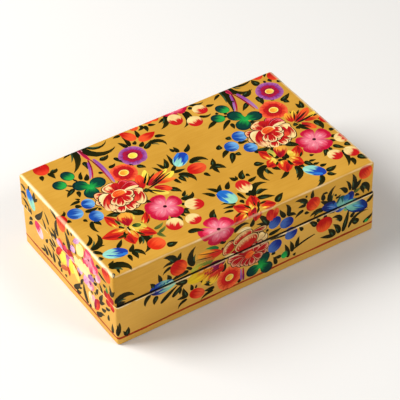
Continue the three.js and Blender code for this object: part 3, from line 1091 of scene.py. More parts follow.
# %% Top of the lid, left front cluster
def left_cluster():
    petals(top, [
        (-62.5-21.5j, -64.6-13j, 2.6, ("C8A840", "6A7A34"), 0.2),
        (-60.5-22.5j, -51.6-27.8j, 7, ("E6C040", "D8C048"), 0.2),
        (-58.5-25.5j, -55.5-30.4j, 4.6, YELLOW, 0.1),
        (-54.5-18.5j, -53.6-12.5j, 2.6, ("E2C648", "B9B04A"), -0.2),
    ])
    flames(top, [
        (-65.6-19.2j, -67.8-6.8j, 6.2, 0.35), (-63.0-24.4j, -78.4-22.2j, 8.6, -0.3),
        (-62.0-25j, -65.0-36.8j, 8.4, 0.2), (-57.2-26.6j, -49.8-36j, 7.4, 0.25),
        (-51.6-24.8j, -45.6-16.4j, 4.8, 0.5),
    ])
    dab(top, -60.4-21.8j, -57.0-10.6j, 9.6, ("B41420", "EAA23A"), "petal", 0.1, 4, TORN)
    dab(top, -60.2-21.4j, -59.4-13.4j, 3.6, ("9E1020", "D8401E"), "lance", 0.1, 5, TORN)
    dab(top, -61.6-25.4j, -61.0-33.4j, 2.2, ("E8B43C", "E07A2C"), "lance", -0.3, 4)
    dab(top, -58.6-22.4j, -53.4-24.4j, 3.8, ("26401C", "5A6C28"), "lance", 0.1, 4)
    veins(top, [(-61.8-21.6j, -62.4-28.2j), (-59.6-22.2j, -58.8-27.6j)], CREAM, 0.7)
    leaves(top, [
        (-58.8-10.4j, -65.6-7.6j, 4.4, 0.3), (-46.8-16.6j, -54.6-9.4j, 5, -0.2),
        (-62.4-17j, -65.6-22.6j, 3.8, -0.2), (-61-22j, -60.2-28j, 3, 0.2),
        (-58-30.6j, -63.8-43.8j, 4.6, -1.2), (-59.2-33j, -62.6-37.8j, 2.6, -0.2),
        (-63.4-15.4j, -61.6-15.8j, 2.2), (-57-24.4j, -51.5-22.6j, 1.8, 0.4),
    ])
    leaves(top, [
        (-49.2-31.8j, -43-29.8j, 2.6, 0.5), (-48.6-35.8j, -43.2-33.2j, 2.4, 0.4),
        (-49.6-35.6j, -47.4-40.6j, 2.8, 0.2), (-53.4-33.8j, -54.6-37j, 2.4, -0.3),
    ], OLIVE)
    berry(top, -54.8-43j, 10.4, 10.6, 20, ("D82C12", "F05A2C"), SOFT)
    leaf(top, -50.6-47.6j, -44.8-48.2j, 4.4, 0.2)
    blossom(top, -34-18.8j, [-34.5-7.8j, -23.2-17j, -29.8-29.8j, -43.8-26.2j, -45-14.6j])
    leaf(top, -40.8-9j, -38.6-11.2j, 2.8)
    tulip_buds(top, [
        (-18.7-26.3j, 11.6, 10, -35), (-37.5-34.7j, 10.6, 10.2, -130), (-26.2-37j, 9.6, 9.4, -80),
    ])
    leaves(top, [
        (-22-17.6j, -15-16.4j, 4, 2), (-20.6-17j, -17.2-13.6j, 2.4, 0.2), (-25-22.5j, -23.4-24.2j, 2.6),
        (-26.8-27.4j, -25.4-31.4j, 3.8, 0.2), (-26.4-27.6j, -23.6-28.4j, 2.2),
        (-29.4-28.6j, -28.6-32.2j, 2.4, 0.3), (-38.6-28.8j, -38.8-32.2j, 2),
        (-36.2-28.8j, -33.8-31.4j, 2.4, -0.2), (-32.6-30j, -32-34.4j, 2.2, -0.2),
        (-34.8-45.4j, -27.6-48.8j, 3.8, -0.8), (-16.4-44.2j, -12.2-37.6j, 4.2, -0.7),
        (-88.6-22.6j, -84.4-16j, 2.6, 1.2), (-88.4-26.6j, -80.2-18.4j, 4, 1.3),
        (-85.4-26.6j, -80.2-28j, 2.4, -0.3), (-88.4-29.6j, -84.8-34.6j, 3, -0.6),
        (-88.6-35.8j, -86-37j, 3.2, 0.2), (-75-34j, -70-29.6j, 2.8, 0.2),
        (-70.8-40.6j, -66.4-36.2j, 2.8, 0.3), (-72.8-42.2j, -73.6-47.2j, 2.6, -0.2),
        (-69.4-41j, -69.7-47.2j, 3.2, -0.3), (-69-41j, -65.4-47j, 3.4, -0.8),
        (-86.6-43.6j, -82.8-41.6j, 2.4, 0.6), (-87-46.8j, -79-53.4j, 5.4, -1.5),
        (-84-48.6j, -84.8-52.2j, 1.8, -0.2), (-87.4-50.8j, -89.8-54.4j, 2.4),
    ])
    tulip_bud(top, -78.2-37j, 14.6, 8.6, -18, AQUA_BLUE)
    blue_edge(top, -84-35.4j, -72-40.6j, 2.6)


left_cluster()
print("with the front cluster:", len(TOP.strokes))


# %% Top of the lid, middle
def middle_sprigs():
    for foot, tip, width in (
        (-16.2+42.2j, -21.4+54j, 7), (-10.2+50.2j, -13.2+56j, 5.8),
        (-15+40.4j, -2.4+42.8j, 7), (1.6+52.2j, -4.8+54.6j, 4.8), (1.6+52.2j, 7.2+54.8j, 4.8),
    ):
        dab(top, foot, tip, width, ("EC5428", "C01810"), "flame", 0.2, 2, (0.5, 0.5, 0.6))
    leaves(top, [
        (-16+54.4j, -21+55.6j, 3, 0.2), (-13.6+42.8j, -12.2+50j, 2.8, 0.2),
        (-22+50.8j, -26.4+50.8j, 2.6, 0.2), (-6.6+49.6j, -9.8+48.8j, 2.2, 0.2),
        (-6.8+48.8j, -7.2+53.2j, 2.6, 0.3), (-5+50.6j, -6+45.6j, 3, -0.4),
        (-2.4+50.4j, 1.4+48.6j, 2.6, 0.4),
    ])
    tulip_bud(top, -3.8+11.8j, 13.6, 9.2, 42, AQUA_BLUE)
    blue_edge(top, -6.5+6.2j, 1.6+13.2j, 2.2)
    blue_edge(top, -9.2+10.6j, -1.4+17.6j, 2, -0.4)
    leaves(top, [
        (-1.6+18.2j, -1.4+23.4j, 3, 0.3), (-2.6+20j, -3.6+23.6j, 2.6), (2+16.6j, 6.9+21.2j, 3.2, 0.7),
        (-0.6+5.2j, 8.2+2.4j, 4, -1.4), (8.8-3.6j, 11.8+1.6j, 3.4, 0.3), (10-4.2j, 5.8-5.4j, 2.8, 0.2),
        (8.6-4.4j, 8.8-10.6j, 3, 0.2), (9-4j, 13.8-9j, 4.2, -0.5), (1.2-6.4j, 2.6-10.4j, 2.8, 0.2),
    ])
    berry(top, -0.3-0.3j, 12.2, 10, 0, ORANGE_RED, (0.55, 0.7, 0.5))
    blossom(top, 18.3+57.2j, [8.0+55j, 12.6+49.2j, 24.0+49.4j, 28.6+55.6j, 18+66j])
    tulip_buds(top, [
        (13.7+45.3j, 11, 9.2, -90), (23+37.5j, 10.2, 9.6, -80), (31.8+45.5j, 10, 8.8, -60),
    ])
    leaves(top, [
        (10+52j, 2.6+43.6j, 3.8, -0.9), (8.6+50.4j, 4+48.4j, 2.2, -0.2), (16.4+50.2j, 17.8+48j, 3.2),
        (20.6+48.2j, 14.6+37.6j, 3.2, -1.1), (23.2+48.6j, 24.2+42.2j, 2.8, 0.2),
        (26.6+50.8j, 28.8+48.8j, 3, 0.3), (28.6+54.6j, 36.4+51.4j, 2.8, 1.1),
        (36.8+46.4j, 41.2+45.4j, 2.8, 0.6), (28.2+40.4j, 34.2+38.8j, 2.6, 1.2),
    ])
    tulip_bud(top, 0.3-31.7j, 13.8, 10, -75, BLUE_AQUA)
    blue_edge(top, -3.6-25.5j, -1.8-36.5j, 2.2, blend=EVEN)
    leaves(top, [
        (-1.2-25.6j, -5.4-19.8j, 3, 0.4), (-0.4-25.4j, 2.8-20.8j, 2.8, -0.4),
        (4-26.2j, 8.2-21.4j, 3.2, -0.2), (-5.2-27.2j, -9.8-21.8j, 3, 0.4), (0.8-39.6j, -5.6-36j, 2.6, 0.6),
        (-0.2-40.8j, -6.8-39.2j, 2.4, 0.1), (-3.4-43.8j, -8.8-43j, 2.2, 0.5),
        (12.6-22.6j, 10.8-18.6j, 3.2, 0.3), (12.8-22.4j, 14.2-19j, 2), (17-23.8j, 20.8-17.6j, 4, -0.7),
        (20.4-21j, 21.6-23.4j, 2.6, -0.2), (18.2-27.2j, 24-25.8j, 2.8, 0.2),
        (7.2-32.2j, 8.4-38.8j, 2.4, 0.1), (11.2-34.8j, 11.8-38.8j, 3.2), (5-38.2j, 5.2-41.6j, 2.8, -0.2),
        (14.4-40.2j, 25-35j, 5, -1.6), (16-39.4j, 22.8-39.4j, 3.2, -0.8), (14-42.8j, 22.6-46j, 3.8, -0.4),
        (21.6-51.4j, 28.4-47j, 4, -0.3),
    ])
    tulip_bud(top, 13.5-29.3j, 11.8, 9.8, -95, RED_CREAM)
    flames(top, [
        (4.0-49.4j, -1.8-40.6j, 8, 0.35), (7.2-48.6j, 12.2-38j, 8.2, 0.3),
        (10.6-48.4j, 14.2-39.4j, 4.4, -0.3), (11.6-49.6j, 20.8-51.8j, 7.8, -0.2),
        (0.8-49.4j, -9.4-55.2j, 7, 0.3), (9.4-47.6j, 0.2-54.6j, 6.2, -0.2),
        (7.6-50.6j, 5.0-59j, 6.4, 0.1),
    ])
    dab(top, 8.8-48.2j, 1.6-54j, 3.4, ("8E1020", "B81A1E"), "lance", -0.1, 4)
    leaves(top, [(1-50j, 4.4-47.2j, 2.6), (8.4-46.4j, 7.2-49.4j, 2.6), (-1.5-50.5j, 2.4-50.8j, 2)])
    blossom(top, -19.2-52.3j, [-19.8-41.6j, -8.6-48.6j, -12.8-62.6j, -24.0-63j, -31.6-51.6j])


middle_sprigs()
print("with the middle:", len(TOP.strokes))


# %% Top of the lid, right spray
def right_spray():
    stems(top, [
        (54.4+57j, 56+47j, 2.2, 0.1, CRIMSON, PINK),
        (56+48j, 49.2+31j, 1.4, -0.4), (54.6+47j, 48.0+32j, 1.8, -0.4, LILAC),
        (56.4+47.5j, 59.6+26.5j, 1.2, -0.35), (58.6+46j, 61.2+26j, 2.4, -0.35, LILAC),
    ])
    leaves(top, [
        (51.4+57j, 47.2+33.6j, 4.8, -0.5), (49.4+51j, 44.4+48.2j, 2.2, 0.3),
        (58.6+55.6j, 68.4+46.4j, 4, 1.7), (60+54.8j, 73+54.2j, 2.4, 1), (60.6+42.2j, 67+45j, 4, 1),
        (59.4+35j, 53.4+30.4j, 3.4, -0.1),
    ])
    trefoil(top, 49.2+22.4j, [(45.6+28.6j, 9.4), (45+17.8j, 9.8), (56+21.6j, 9.4)])
    leaves(top, [(50.6+18.8j, 51.4+14.2j, 3), (51.6+17.4j, 54.2+15j, 2.6)])
    green_bud(top, 43+38j, 9.4, 7.8, 120)
    green_bud(top, 35.8+31.8j, 9, 8, 140)
    leaves(top, [
        (33.2+30.2j, 26.4+27j, 3.2, 0.2), (41+26.6j, 33.4+21j, 3, 0.3), (39.8+23.4j, 38.8+18.6j, 2.8, -0.2),
        (37.4+37j, 38.8+35.8j, 2.2), (41.4+33.8j, 42.8+32j, 2.2), (39.8+31.2j, 41.4+29.8j, 2.2),
    ])
    daisy(top, 77+36.7j, 8.9, 5.6, 2.7, PURPLE_PINK, CRIMSON, ("F2A23A", "F8C84C"))
    daisy(top, 68.5+20j, 8.8, 5.7, 2.9, SCARLET, DEEP_RED, ("F29A30", "F8C63E"))
    buds(top, [(79+54.5j, 9, 8, 90), (88+48.5j, 8.8, 8.2, 60)], RED_ORANGE, (0.35, 0.6, 0.5))
    leaves(top, [
        (75.4+45.8j, 74.4+51.8j, 4.8, -0.3), (67+36.4j, 66.2+28.8j, 4.2, -0.5),
        (65.4+32.4j, 69.6+33.6j, 2.6, 0.3), (73+29.6j, 74.2+27.8j, 2.4),
        (84.6+54.8j, 82.8+50.8j, 2.6, -0.3), (80.4+47.4j, 80+44.8j, 2), (83.4+47.4j, 83.4+44.2j, 2.8, -0.2),
        (86.6+42.8j, 89+40.4j, 2.6, -0.3), (77.6+25j, 85.2+28.4j, 3.6, 0.3),
        (79+24.4j, 80.8+21.2j, 3.6, -0.2), (83.6+12.4j, 83+17.2j, 3, 0.2), (84+12j, 86.4+18.2j, 3.4, 0.3),
    ])
    blue_buds(top, [
        (37+10.5j, 9.2, 9.8, -20), (27.8+5j, 9, 9.6, -15), (36.7-2j, 8.4, 9, -10),
    ])
    leaves(top, [
        (30.4+14j, 31.6+11j, 3.6), (20.6+6.4j, 22.4+10j, 4, -0.4), (40.8+7.6j, 43+6j, 3),
        (40.8+1j, 42.3-0.4j, 2.4), (33+5.2j, 38.6+4j, 3.2, -0.3), (24.2+3.4j, 18.4-0.8j, 3.2, 0.3),
        (24.8-0.2j, 19.8-7.4j, 3.8, -0.2), (27-1.4j, 28.4-4.4j, 3.4),
    ])
    peony(top, 54.7+2.8j, cmath.rect(1, 0.12))
    veins(top, [(72+2j, 87+3.4j), (73+4j, 78+12.5j)], INK_PAIR, 1.1)
    petals(top, [
        (71.5+4j, 73+13.4j, 4.4, ("C01A18", "F0A030"), -0.3),
        (72.5+4j, 78+13.2j, 3.4, ("C8321A", "F0C03C"), 0.3),
        (73+2.8j, 87+10.6j, 5.2, ("A81420", "EC5A28"), 0.25),
        (77+1.6j, 88.6+5.2j, 3, ("E8922C", "F0C83E"), 0.2),
        (75.6+0.6j, 80.4-8.6j, 4.4, ("B4181C", "EA5428"), 0.2),
        (78+0.8j, 88.6-0.6j, 3.2, ("C82818", "EC7A2C"), -0.2),
    ])
    veins(top, [(72+3.2j, 85+8.2j), (73+1.6j, 86.4+3j), (72.6+1j, 78.4-6.4j)],
          ("1C1410", "2A1A14"), 1.5)
    leaves(top, [
        (73.4+4.6j, 76+11.6j, 2.4, 0.2), (74.6+4.4j, 80.6+10.8j, 2.6, -0.2), (70.4+2j, 73+0.6j, 3.4),
        (72.4-0.8j, 76-7.4j, 3.2, 0.2), (70.6-1j, 71-3.8j, 3), (77.8+3j, 88+2.6j, 3, 0.2),
        (76+6j, 77.4+12.6j, 3, 0.2), (75.6+9j, 75.4+13j, 2), (82.2-2.6j, 82.6-10.4j, 4.6, -0.9),
        (85.2-14.4j, 88.6-15.2j, 3, -0.2), (82.4-20j, 86.2-20.6j, 3, 0.1),
        (79.6-22.8j, 82.6-24.8j, 2.8, -0.2), (86.5-1j, 89.2-3.2j, 2.4),
    ])
    blossom(top, 72.5-16.7j, [72.3-6.6j, 84-14.6j, 76.6-27.8j, 64.2-27j, 61.4-14.4j])


right_spray()
print("with the right spray:", len(TOP.strokes))


# %% Top of the lid, right front cluster
def right_cluster():
    petals(top, [
        (43.6-17.6j, 43.8-9.6j, 3.8, ("D8C448", "A8A844"), 0.2),
        (52.6-23j, 53.6-16.6j, 3.6, YELLOW, 0.1),
        (48.8-24j, 50.6-29.6j, 4, ("E8B43C", "E07A2C"), 0.1),
        (40.4-23.6j, 42.0-16.6j, 2.4, YELLOW, 0.2),
    ])
    flames(top, [
        (41.0-17.6j, 38.2-7.6j, 6.6, 0.3), (42.0-19.6j, 34.6-22.8j, 7.2, -0.4),
        (54.0-24.2j, 60.9-15.8j, 7, 0.3), (46.0-22.6j, 41.8-33j, 8.4, -0.2),
        (50.0-23.4j, 54.6-32j, 8.8, 0.2),
    ])
    dab(top, 45.8-19.8j, 52.4-10.4j, 8.8, ("B41420", "EAA23A"), "petal", 0.1, 4, (0.7, 0.3, 1))
    dab(top, 45.8-19.6j, 49.2-12.8j, 3.4, ("8E1020", "D03A1E"), "lance", 0.1, 5, TORN)
    leaves(top, [
        (44.8-19.4j, 42.4-15.6j, 3), (43.6-20.6j, 47.6-23j, 2.8), (47.8-22.8j, 48.4-18.6j, 2.8),
        (49.4-22.6j, 53.4-16j, 3), (51-9.8j, 54.4-8.8j, 3.4, 0.3), (47.2-9.2j, 45.8-13.6j, 2.4, 0.4),
        (36.4-6.6j, 47-7.2j, 4.2, 0.5), (55.4-10.2j, 61.8-16.6j, 4.6, -0.2),
        (35.4-21.6j, 30.2-32j, 4.2, 2.7), (32.4-23.4j, 34-29.2j, 2.8, 0.2), (30-15.6j, 34.8-18j, 4.2, 0.4),
        (37-24.2j, 39.4-28.6j, 3.2, -0.3), (42.6-31.8j, 35.8-35.2j, 3, -0.4),
        (48.6-31j, 43.2-40.8j, 4.2, -0.9), (46.6-37.6j, 43.6-39.8j, 2),
    ])
    tulip_bud(top, 55.9-40.5j, 14.4, 8.8, -50, AQUA_BLUE)
    blue_edge(top, 50.4-37.6j, 58.4-45.6j, 2.4, 0.4)
    leaves(top, [
        (51.6-31j, 52.6-34.6j, 3, -0.1), (56-30.4j, 58.4-36.4j, 3.6, 0.2),
        (58.4-31.6j, 62.2-32.4j, 2.2, 0.2), (58.8-35.4j, 62.2-35.8j, 2.4, 0.3),
        (61-39j, 65-39.2j, 2.8, 0.2), (61.6-44.4j, 68.4-43.6j, 3.8, 0.4),
        (61.2-46.4j, 64.6-49.4j, 3.4, 0.8), (56.4-46j, 49.4-52j, 3.4, -0.9),
        (61.4-27.8j, 64-28.4j, 2.2, -0.3), (73-27.8j, 68.8-32.6j, 3.4, -0.4),
        (75.4-28j, 74.8-31.6j, 2.4, -0.2), (78.6-27.6j, 82.8-32.6j, 3.4, 0.1),
        (85.6-29.6j, 87-33j, 3.8, -0.1), (80.2-34.4j, 75.4-46.4j, 3.2, -0.6),
        (80.6-43j, 78.6-48.8j, 3.2, -0.5), (85.2-43.2j, 88.4-48.2j, 4.6, 0.1),
    ])
    tulip_buds(top, [
        (87-24j, 8.6, 9, 0), (74.5-35.3j, 9.6, 9.4, -70), (84.5-38j, 10, 8.6, -70),
    ])


right_cluster()
print("top of the lid:", len(TOP.strokes), "strokes")

# %% [markdown]
# The front wall. Its flowers were painted across the closed seam, a half-closed peony in the middle
# with a lily on its left, blue buds and a blue flower near each end, so they are cut in two when the
# lid lifts. The hidden back wall is given the same spray.


# %% Front and back walls, on the lid's side of the seam
def front_upper(place):
    leaves(place, [
        (-89.4+31.8j, -78.4+32j, 4.4, -1.3), (-88.6+30.4j, -83.4+30.2j, 3.2, -0.3),
        (-59.4+32.4j, -60.8+38.8j, 2.8, 0.2), (-63.4+29.6j, -66+34.6j, 3.4, 0.3),
        (-53.4+31j, -54.8+35.6j, 3.2, 0.3), (-49.6+43j, -56.4+48.9j, 4.4, 0.9),
        (-51+43.2j, -57+42.5j, 2.4, 0.8), (-52+40.6j, -57.2+37.7j, 2.4, 0.7),
        (-47.2+43.2j, -45.6+48.2j, 3, -0.2), (-41+31.6j, -51.8+29.8j, 3.6, 0.5),
        (-38.6+32.2j, -43+35.7j, 2.2, 0.2), (-36.4+35j, -35.5+46.6j, 4.6, -1.2),
        (-15.6+41.3j, -20.8+43.5j, 3, 0.3), (-18.4+37.6j, -16.6+36.2j, 2),
    ])
    leaf(place, -20.6+38.8j, -28.4+42.4j, 2.8, 0.4, GREEN_LEAF)
    berry(place, -47.3+38j, 11.8, 11.2, -40, RED_ORANGE_BUD, SOFT_LATE)
    petals(place, [
        (-17.5+35.4j, -34.6+40.2j, 6.8, ("D02818", "F09C2C"), -0.35),
        (-22+33.4j, -36.5+36j, 5.6, ("B8642C", "B89440"), -0.1),
        (-24+31.6j, -39.4+30.6j, 5.8, ("6C782C", "B8B03C"), 0.1),
        (-25+27j, -42.8+24.6j, 9.4, ("D8801C", "E4BC20"), 0.3),
        (-26+29.4j, -36+28.6j, 3.4, ("D85A28", "E8A040"), 0.1),
        (-19.6+27j, -27.6+20.8j, 5, ("C82820", "D84030"), -0.2),
        (-21+24.6j, -27.8+15.2j, 5.4, ("CC2A1A", "F2C236"), -0.2),
        (-24.5+26.4j, -33.4+17.6j, 4.4, ("D4381E", "F0BE34"), -0.1),
        (-17+28.4j, -31.6+25j, 6, ("7A1440", "B81A30"), 0.25),
        (-23+28.8j, -29+27.6j, 2.6, ("B04878", "A83060"), 0.1),
        (-20+28j, -19.8+21.4j, 3.8, RED_ORANGE, 0.2),
    ])
    veins(place, [
        (-17+36.6j, -35+41.4j, -0.35), (-23+34.6j, -36+37.6j, -0.1),
        (-17.5+25.2j, -31.8+22.6j, 0.2),
    ], ("6A1A10", "4A2410"), 0.9)
    cupped_peony(place)
    petals(place, [
        (-13+31.5j, -17.4+37.4j, 5.2, RED_ORANGE, 0.3),
        (-8.4+44.4j, 1.8+43.4j, 2.6, CREAM, -0.7),
    ])
    leaves(place, [
        (-9+45.2j, -0.4+47j, 3, -1.2), (2+44.4j, 3.6+49.8j, 3.2, 0.2), (13.8+39.8j, 7.6+49.4j, 4.2, 0.3),
        (12.8+40.2j, 6.4+43.8j, 2.8, 0.4), (26+40.2j, 22.4+46.8j, 3.2, -0.3),
        (27.4+40.4j, 26+48.4j, 3.2, 0.9), (27.6+40.2j, 33+38.2j, 2.8, -0.7),
        (14.4+32.2j, 22.6+33.4j, 3, 0.3), (12.4+36.4j, 13.8+35j, 2.2), (40.8+43j, 33.4+47.4j, 3.4, 0.9),
        (40.4+42j, 35.4+42.4j, 2.6, 0.3), (38.8+38.7j, 33.6+35.8j, 2.8, 0.6), (40+37j, 42.8+35.4j, 2.4),
        (40.2+49.2j, 40.8+47.6j, 1.6), (45+45.4j, 45.4+50.8j, 2.8, -0.3),
        (53.2+31.6j, 44.6+31.4j, 3.8, 0.9), (50.6+33j, 47+30j, 2.6, 0.5), (54+40j, 53.5+45.2j, 3.2, -0.9),
        (53.4+44.6j, 55.8+43.6j, 1.8, -0.9), (59.4+35.2j, 61.8+45.5j, 3.6, -1.2),
        (61.6+40.4j, 62.6+38.6j, 1.8), (62.4+37.8j, 63+36.2j, 1.8), (63.4+36.6j, 65.8+38j, 1.6, -0.3),
        (56.4+34.8j, 51.3+39.2j, 3, 0.3), (69.8+37.6j, 65+42.6j, 3.2, 0.7),
        (72.4+38.4j, 69.4+46j, 2.4, 0.5), (74.4+37.6j, 73.5+48.8j, 3.8, 0.6),
        (75+37.8j, 79.8+43.2j, 3, 0.4), (80.6+38.8j, 85.4+31.2j, 4.2, -0.9),
        (80+38.2j, 82.2+31.8j, 3, -0.4), (76.2+33j, 79.2+31.4j, 2.2, -0.4),
    ])
    leaf(place, 75.5+35.5j, 80.3+37.2j, 2.6, 0.3, OLIVE)
    veins(place, [(79.6+43.6j, 72.8+37.4j), (80.2+42.4j, 74.8+35j)], INK_PAIR, 1.3)
    petals(place, [
        (16.6+42j, 14.2+51j, 5.8, RED_ORANGE, 0.2), (18.4+43j, 19.8+50.4j, 4.2, ORANGE_RED, -0.2),
    ])
    buds(place, [(18.5+39.5j, 9, 8.4, 45), (27+35.3j, 9.8, 8.2, -10)], LILAC_BLUE)
    buds(place, [(45.7+40.7j, 10.2, 10, -50), (83.2+47.4j, 10.4, 9.8, -60)], RED_ORANGE_BUD, SOFT_LATE)


# %% Front and back walls, across the seam
def front_seam(place):
    dab(place, -50.4+28.8j, -67.6+28.4j, 8.4, ("8CCCAC", "1E3C96"), "lance", 0.35, 2, (0.45, 0.3, 0.9))
    petals(place, [
        (-61+26.4j, -68+28.8j, 2.6, ("1E2460", "1A1A48"), 0.2),
        (-61+30.2j, -51.6+31.4j, 2.2, ("1E5078", "2E6C94"), 0.1),
        (-55+30.4j, -51.4+30.6j, 1.3, ("B8DCDC", "A8D0D0"), 0.1),
    ])
    leaves(place, [
        (-67.4+27.8j, -70.6+21.7j, 3.2, 0.9), (-63.2+25j, -65+19.8j, 3.6, 0.4),
        (-60.9+18j, -50.2+25.7j, 3, -0.15), (-52.9+18.7j, -45.2+24.9j, 3.4, -0.3),
        (-48+23.2j, -48.2+18.8j, 2.6, -0.1), (-43+26j, -50.4+28.2j, 4.2, -0.2),
    ])
    petals(place, [
        (64.5+29.4j, 52.0+34.4j, 6.4, ("2C62A8", "1A2668"), 0.25),
        (61+30.5j, 59.8+36.4j, 3, ("1A2668", "14204C"), 0.1),
        (71.6+29j, 73.2+37.4j, 5.6, ("2450A8", "16246C"), 0.1),
        (68+28.4j, 60.6+28.2j, 4.4, ("3C7CC0", "1E3C90"), 0.5),
        (71+29j, 67.6+25j, 3.6, ("8CCCA8", "78B060"), 0.1),
    ])
    dab(place, 66.8+28.2j, 65.8+37j, 7.8, ("78B6A4", "1A4E4C"), "oval", 0.1, 3, (0.6, 0.3, 0.9))
    dab(place, 69.5+28.6j, 70+36.2j, 4.6, ("68A8A8", "245C98"), "petal", 0, 4, (0.5, 0.4, 0.9))
    dab(place, 67.2+29.6j, 84.6+20j, 9.8, ("1C4474", "10205C"), "lance", -0.25, 2)
    dab(place, 67.6+29.6j, 83.6+21j, 8.4, ("74BCA8", "163480"), "lance", -0.25, 3, (0.58, 0.3, 0.9))
    dab(place, 74+26.6j, 82+21.6j, 2, ("5CA8C8", "2C6CB8"), "lance", -0.2, 4)
    dab(place, 82.6+21.8j, 85+19.4j, 0.8, INK_PAIR, "needle", 0.2, 2)
    veins(place, [(62.6+30.4j, 54.4+34.4j), (63+29.6j, 56+31.8j)], ("9CB4DC", "6C8CC8"), 0.5)
    leaves(place, [
        (84+24.3j, 89+29.2j, 2.8, 0.4), (-9.8+47j, -5.8+49j, 1.8), (25.2+27.4j, 12.6+28.6j, 1.8, 0.1),
    ])


# %% Front and back walls, below the seam
def front_lower(place):
    leaves(place, [
        (-89.6+8.2j, -90.8+15j, 2.8, 0.3), (-84.4+5.2j, -83+10.8j, 3.6, 0.2), (-84.8+5.6j, -86.4+9.4j, 2),
        (-43.4+13.8j, -45.5+21.2j, 3.8, -0.35), (-43.8+14.4j, -49.5+14.9j, 2.8, 0.2),
        (-40+17.4j, -40.8+21.6j, 2.6, 0.4), (-37.2+17.6j, -36.5+19.8j, 1.8),
        (-43.4+11.8j, -48.8+7.8j, 2.4, 1), (-25.6+15.3j, -33.8+22j, 4.2, -0.2),
        (-24.8+12j, -31.2+12.5j, 3, -0.2), (-25.6+9.6j, -33.3+6.6j, 2.3, 0.7),
        (-19+20.8j, -17.3+26.4j, 3, 0.3), (-7.4+6.4j, -8.5+9.6j, 2.6), (18.6+7.6j, 16.8+13.4j, 3, 0.2),
        (22.2+12.2j, 17.8+13.6j, 2.8, -0.3), (27+8.8j, 24.8+18.8j, 3.4, 0.3),
        (30+11.8j, 28.6+19.7j, 3.2, 0.3), (33.4+13.8j, 34.8+20.7j, 3.2, -0.3), (31+8.2j, 32.3+9.8j, 2.4),
        (16.4+16j, 17.8+18.2j, 3), (37.2+24.8j, 34.8+28.2j, 2.6, 0.3), (47.2+23.4j, 42.4+28.3j, 3.6, 0.3),
        (49.6+25.8j, 47.8+29j, 2.6), (53.4+26.3j, 53+29j, 2.8), (64.6+18.2j, 59+22.9j, 3.4, 1.4),
        (64+9.4j, 59.9+17.4j, 3.8, 0.6), (67+9.4j, 70.3+24j, 3.6, 0.1), (60.3+8.8j, 56.4+15.4j, 4.4, 0.4),
        (59.8+9.2j, 51.2+12.1j, 3, 0.1), (77.9+11j, 72.8+15j, 4.6, 0.4), (71.6+10j, 84+16.4j, 2.6, -1.2),
        (72.4+17.8j, 75.2+21.6j, 3.2, 0.2), (82+9.3j, 89.4+13.9j, 2.8, 0.3), (60.2+28j, 54.8+28.6j, 1.6),
    ])
    stem(place, 29.8+12.8j, 46.6+17.4j, 1.6, -0.3, INK_PAIR)
    berry(place, -36.6+13.2j, 11.2, 7.8, -28, ("D0180E", "F25A34"), SOFT)
    daisy(place, -14.3+14j, 8.7, 5.4, 2.7, ("E24826", "F8703C"), ("B81016", "D2241C"), ("F8A030", "FCC840"))
    stem(place, -4.6+6.8j, -4.8+17j, 1.6, 0.15, VIOLET_RED)
    stem(place, -6.2+7.4j, -6.4+16.6j, 1.6, 0.15, LILAC)
    trefoil(place, 7.4+12.4j, [(1.6+10.8j, 8.4), (9.8+17.2j, 8.8), (12+8.6j, 8.4)])
    buds(place, [(17.5+22.5j, 10, 9, 30), (29+26.4j, 9, 8, 20)], LILAC_BLUE)
    buds(place, [(24.6+12j, 5.4, 5, 80), (84.6+9.6j, 3.2, 2.4, 20)], BRIGHT_GREEN, (0.5, 0.8, 0.4))
    berry(place, 53+21.6j, 11.2, 11.8, -90, RED_ORANGE_BUD, SOFT_LATE)


for wall in (FRONT, BACK):
    for spray in (front_upper, front_seam, front_lower):
        spray(Place(wall))
print("front wall:", len(FRONT.strokes), "strokes")

# %% [markdown]
# The left wall, from the same strokes: pale and pink petals on both sides of the seam, a blossom
# above it, and sprays of leaves down to the lining line. The right wall repeats it.


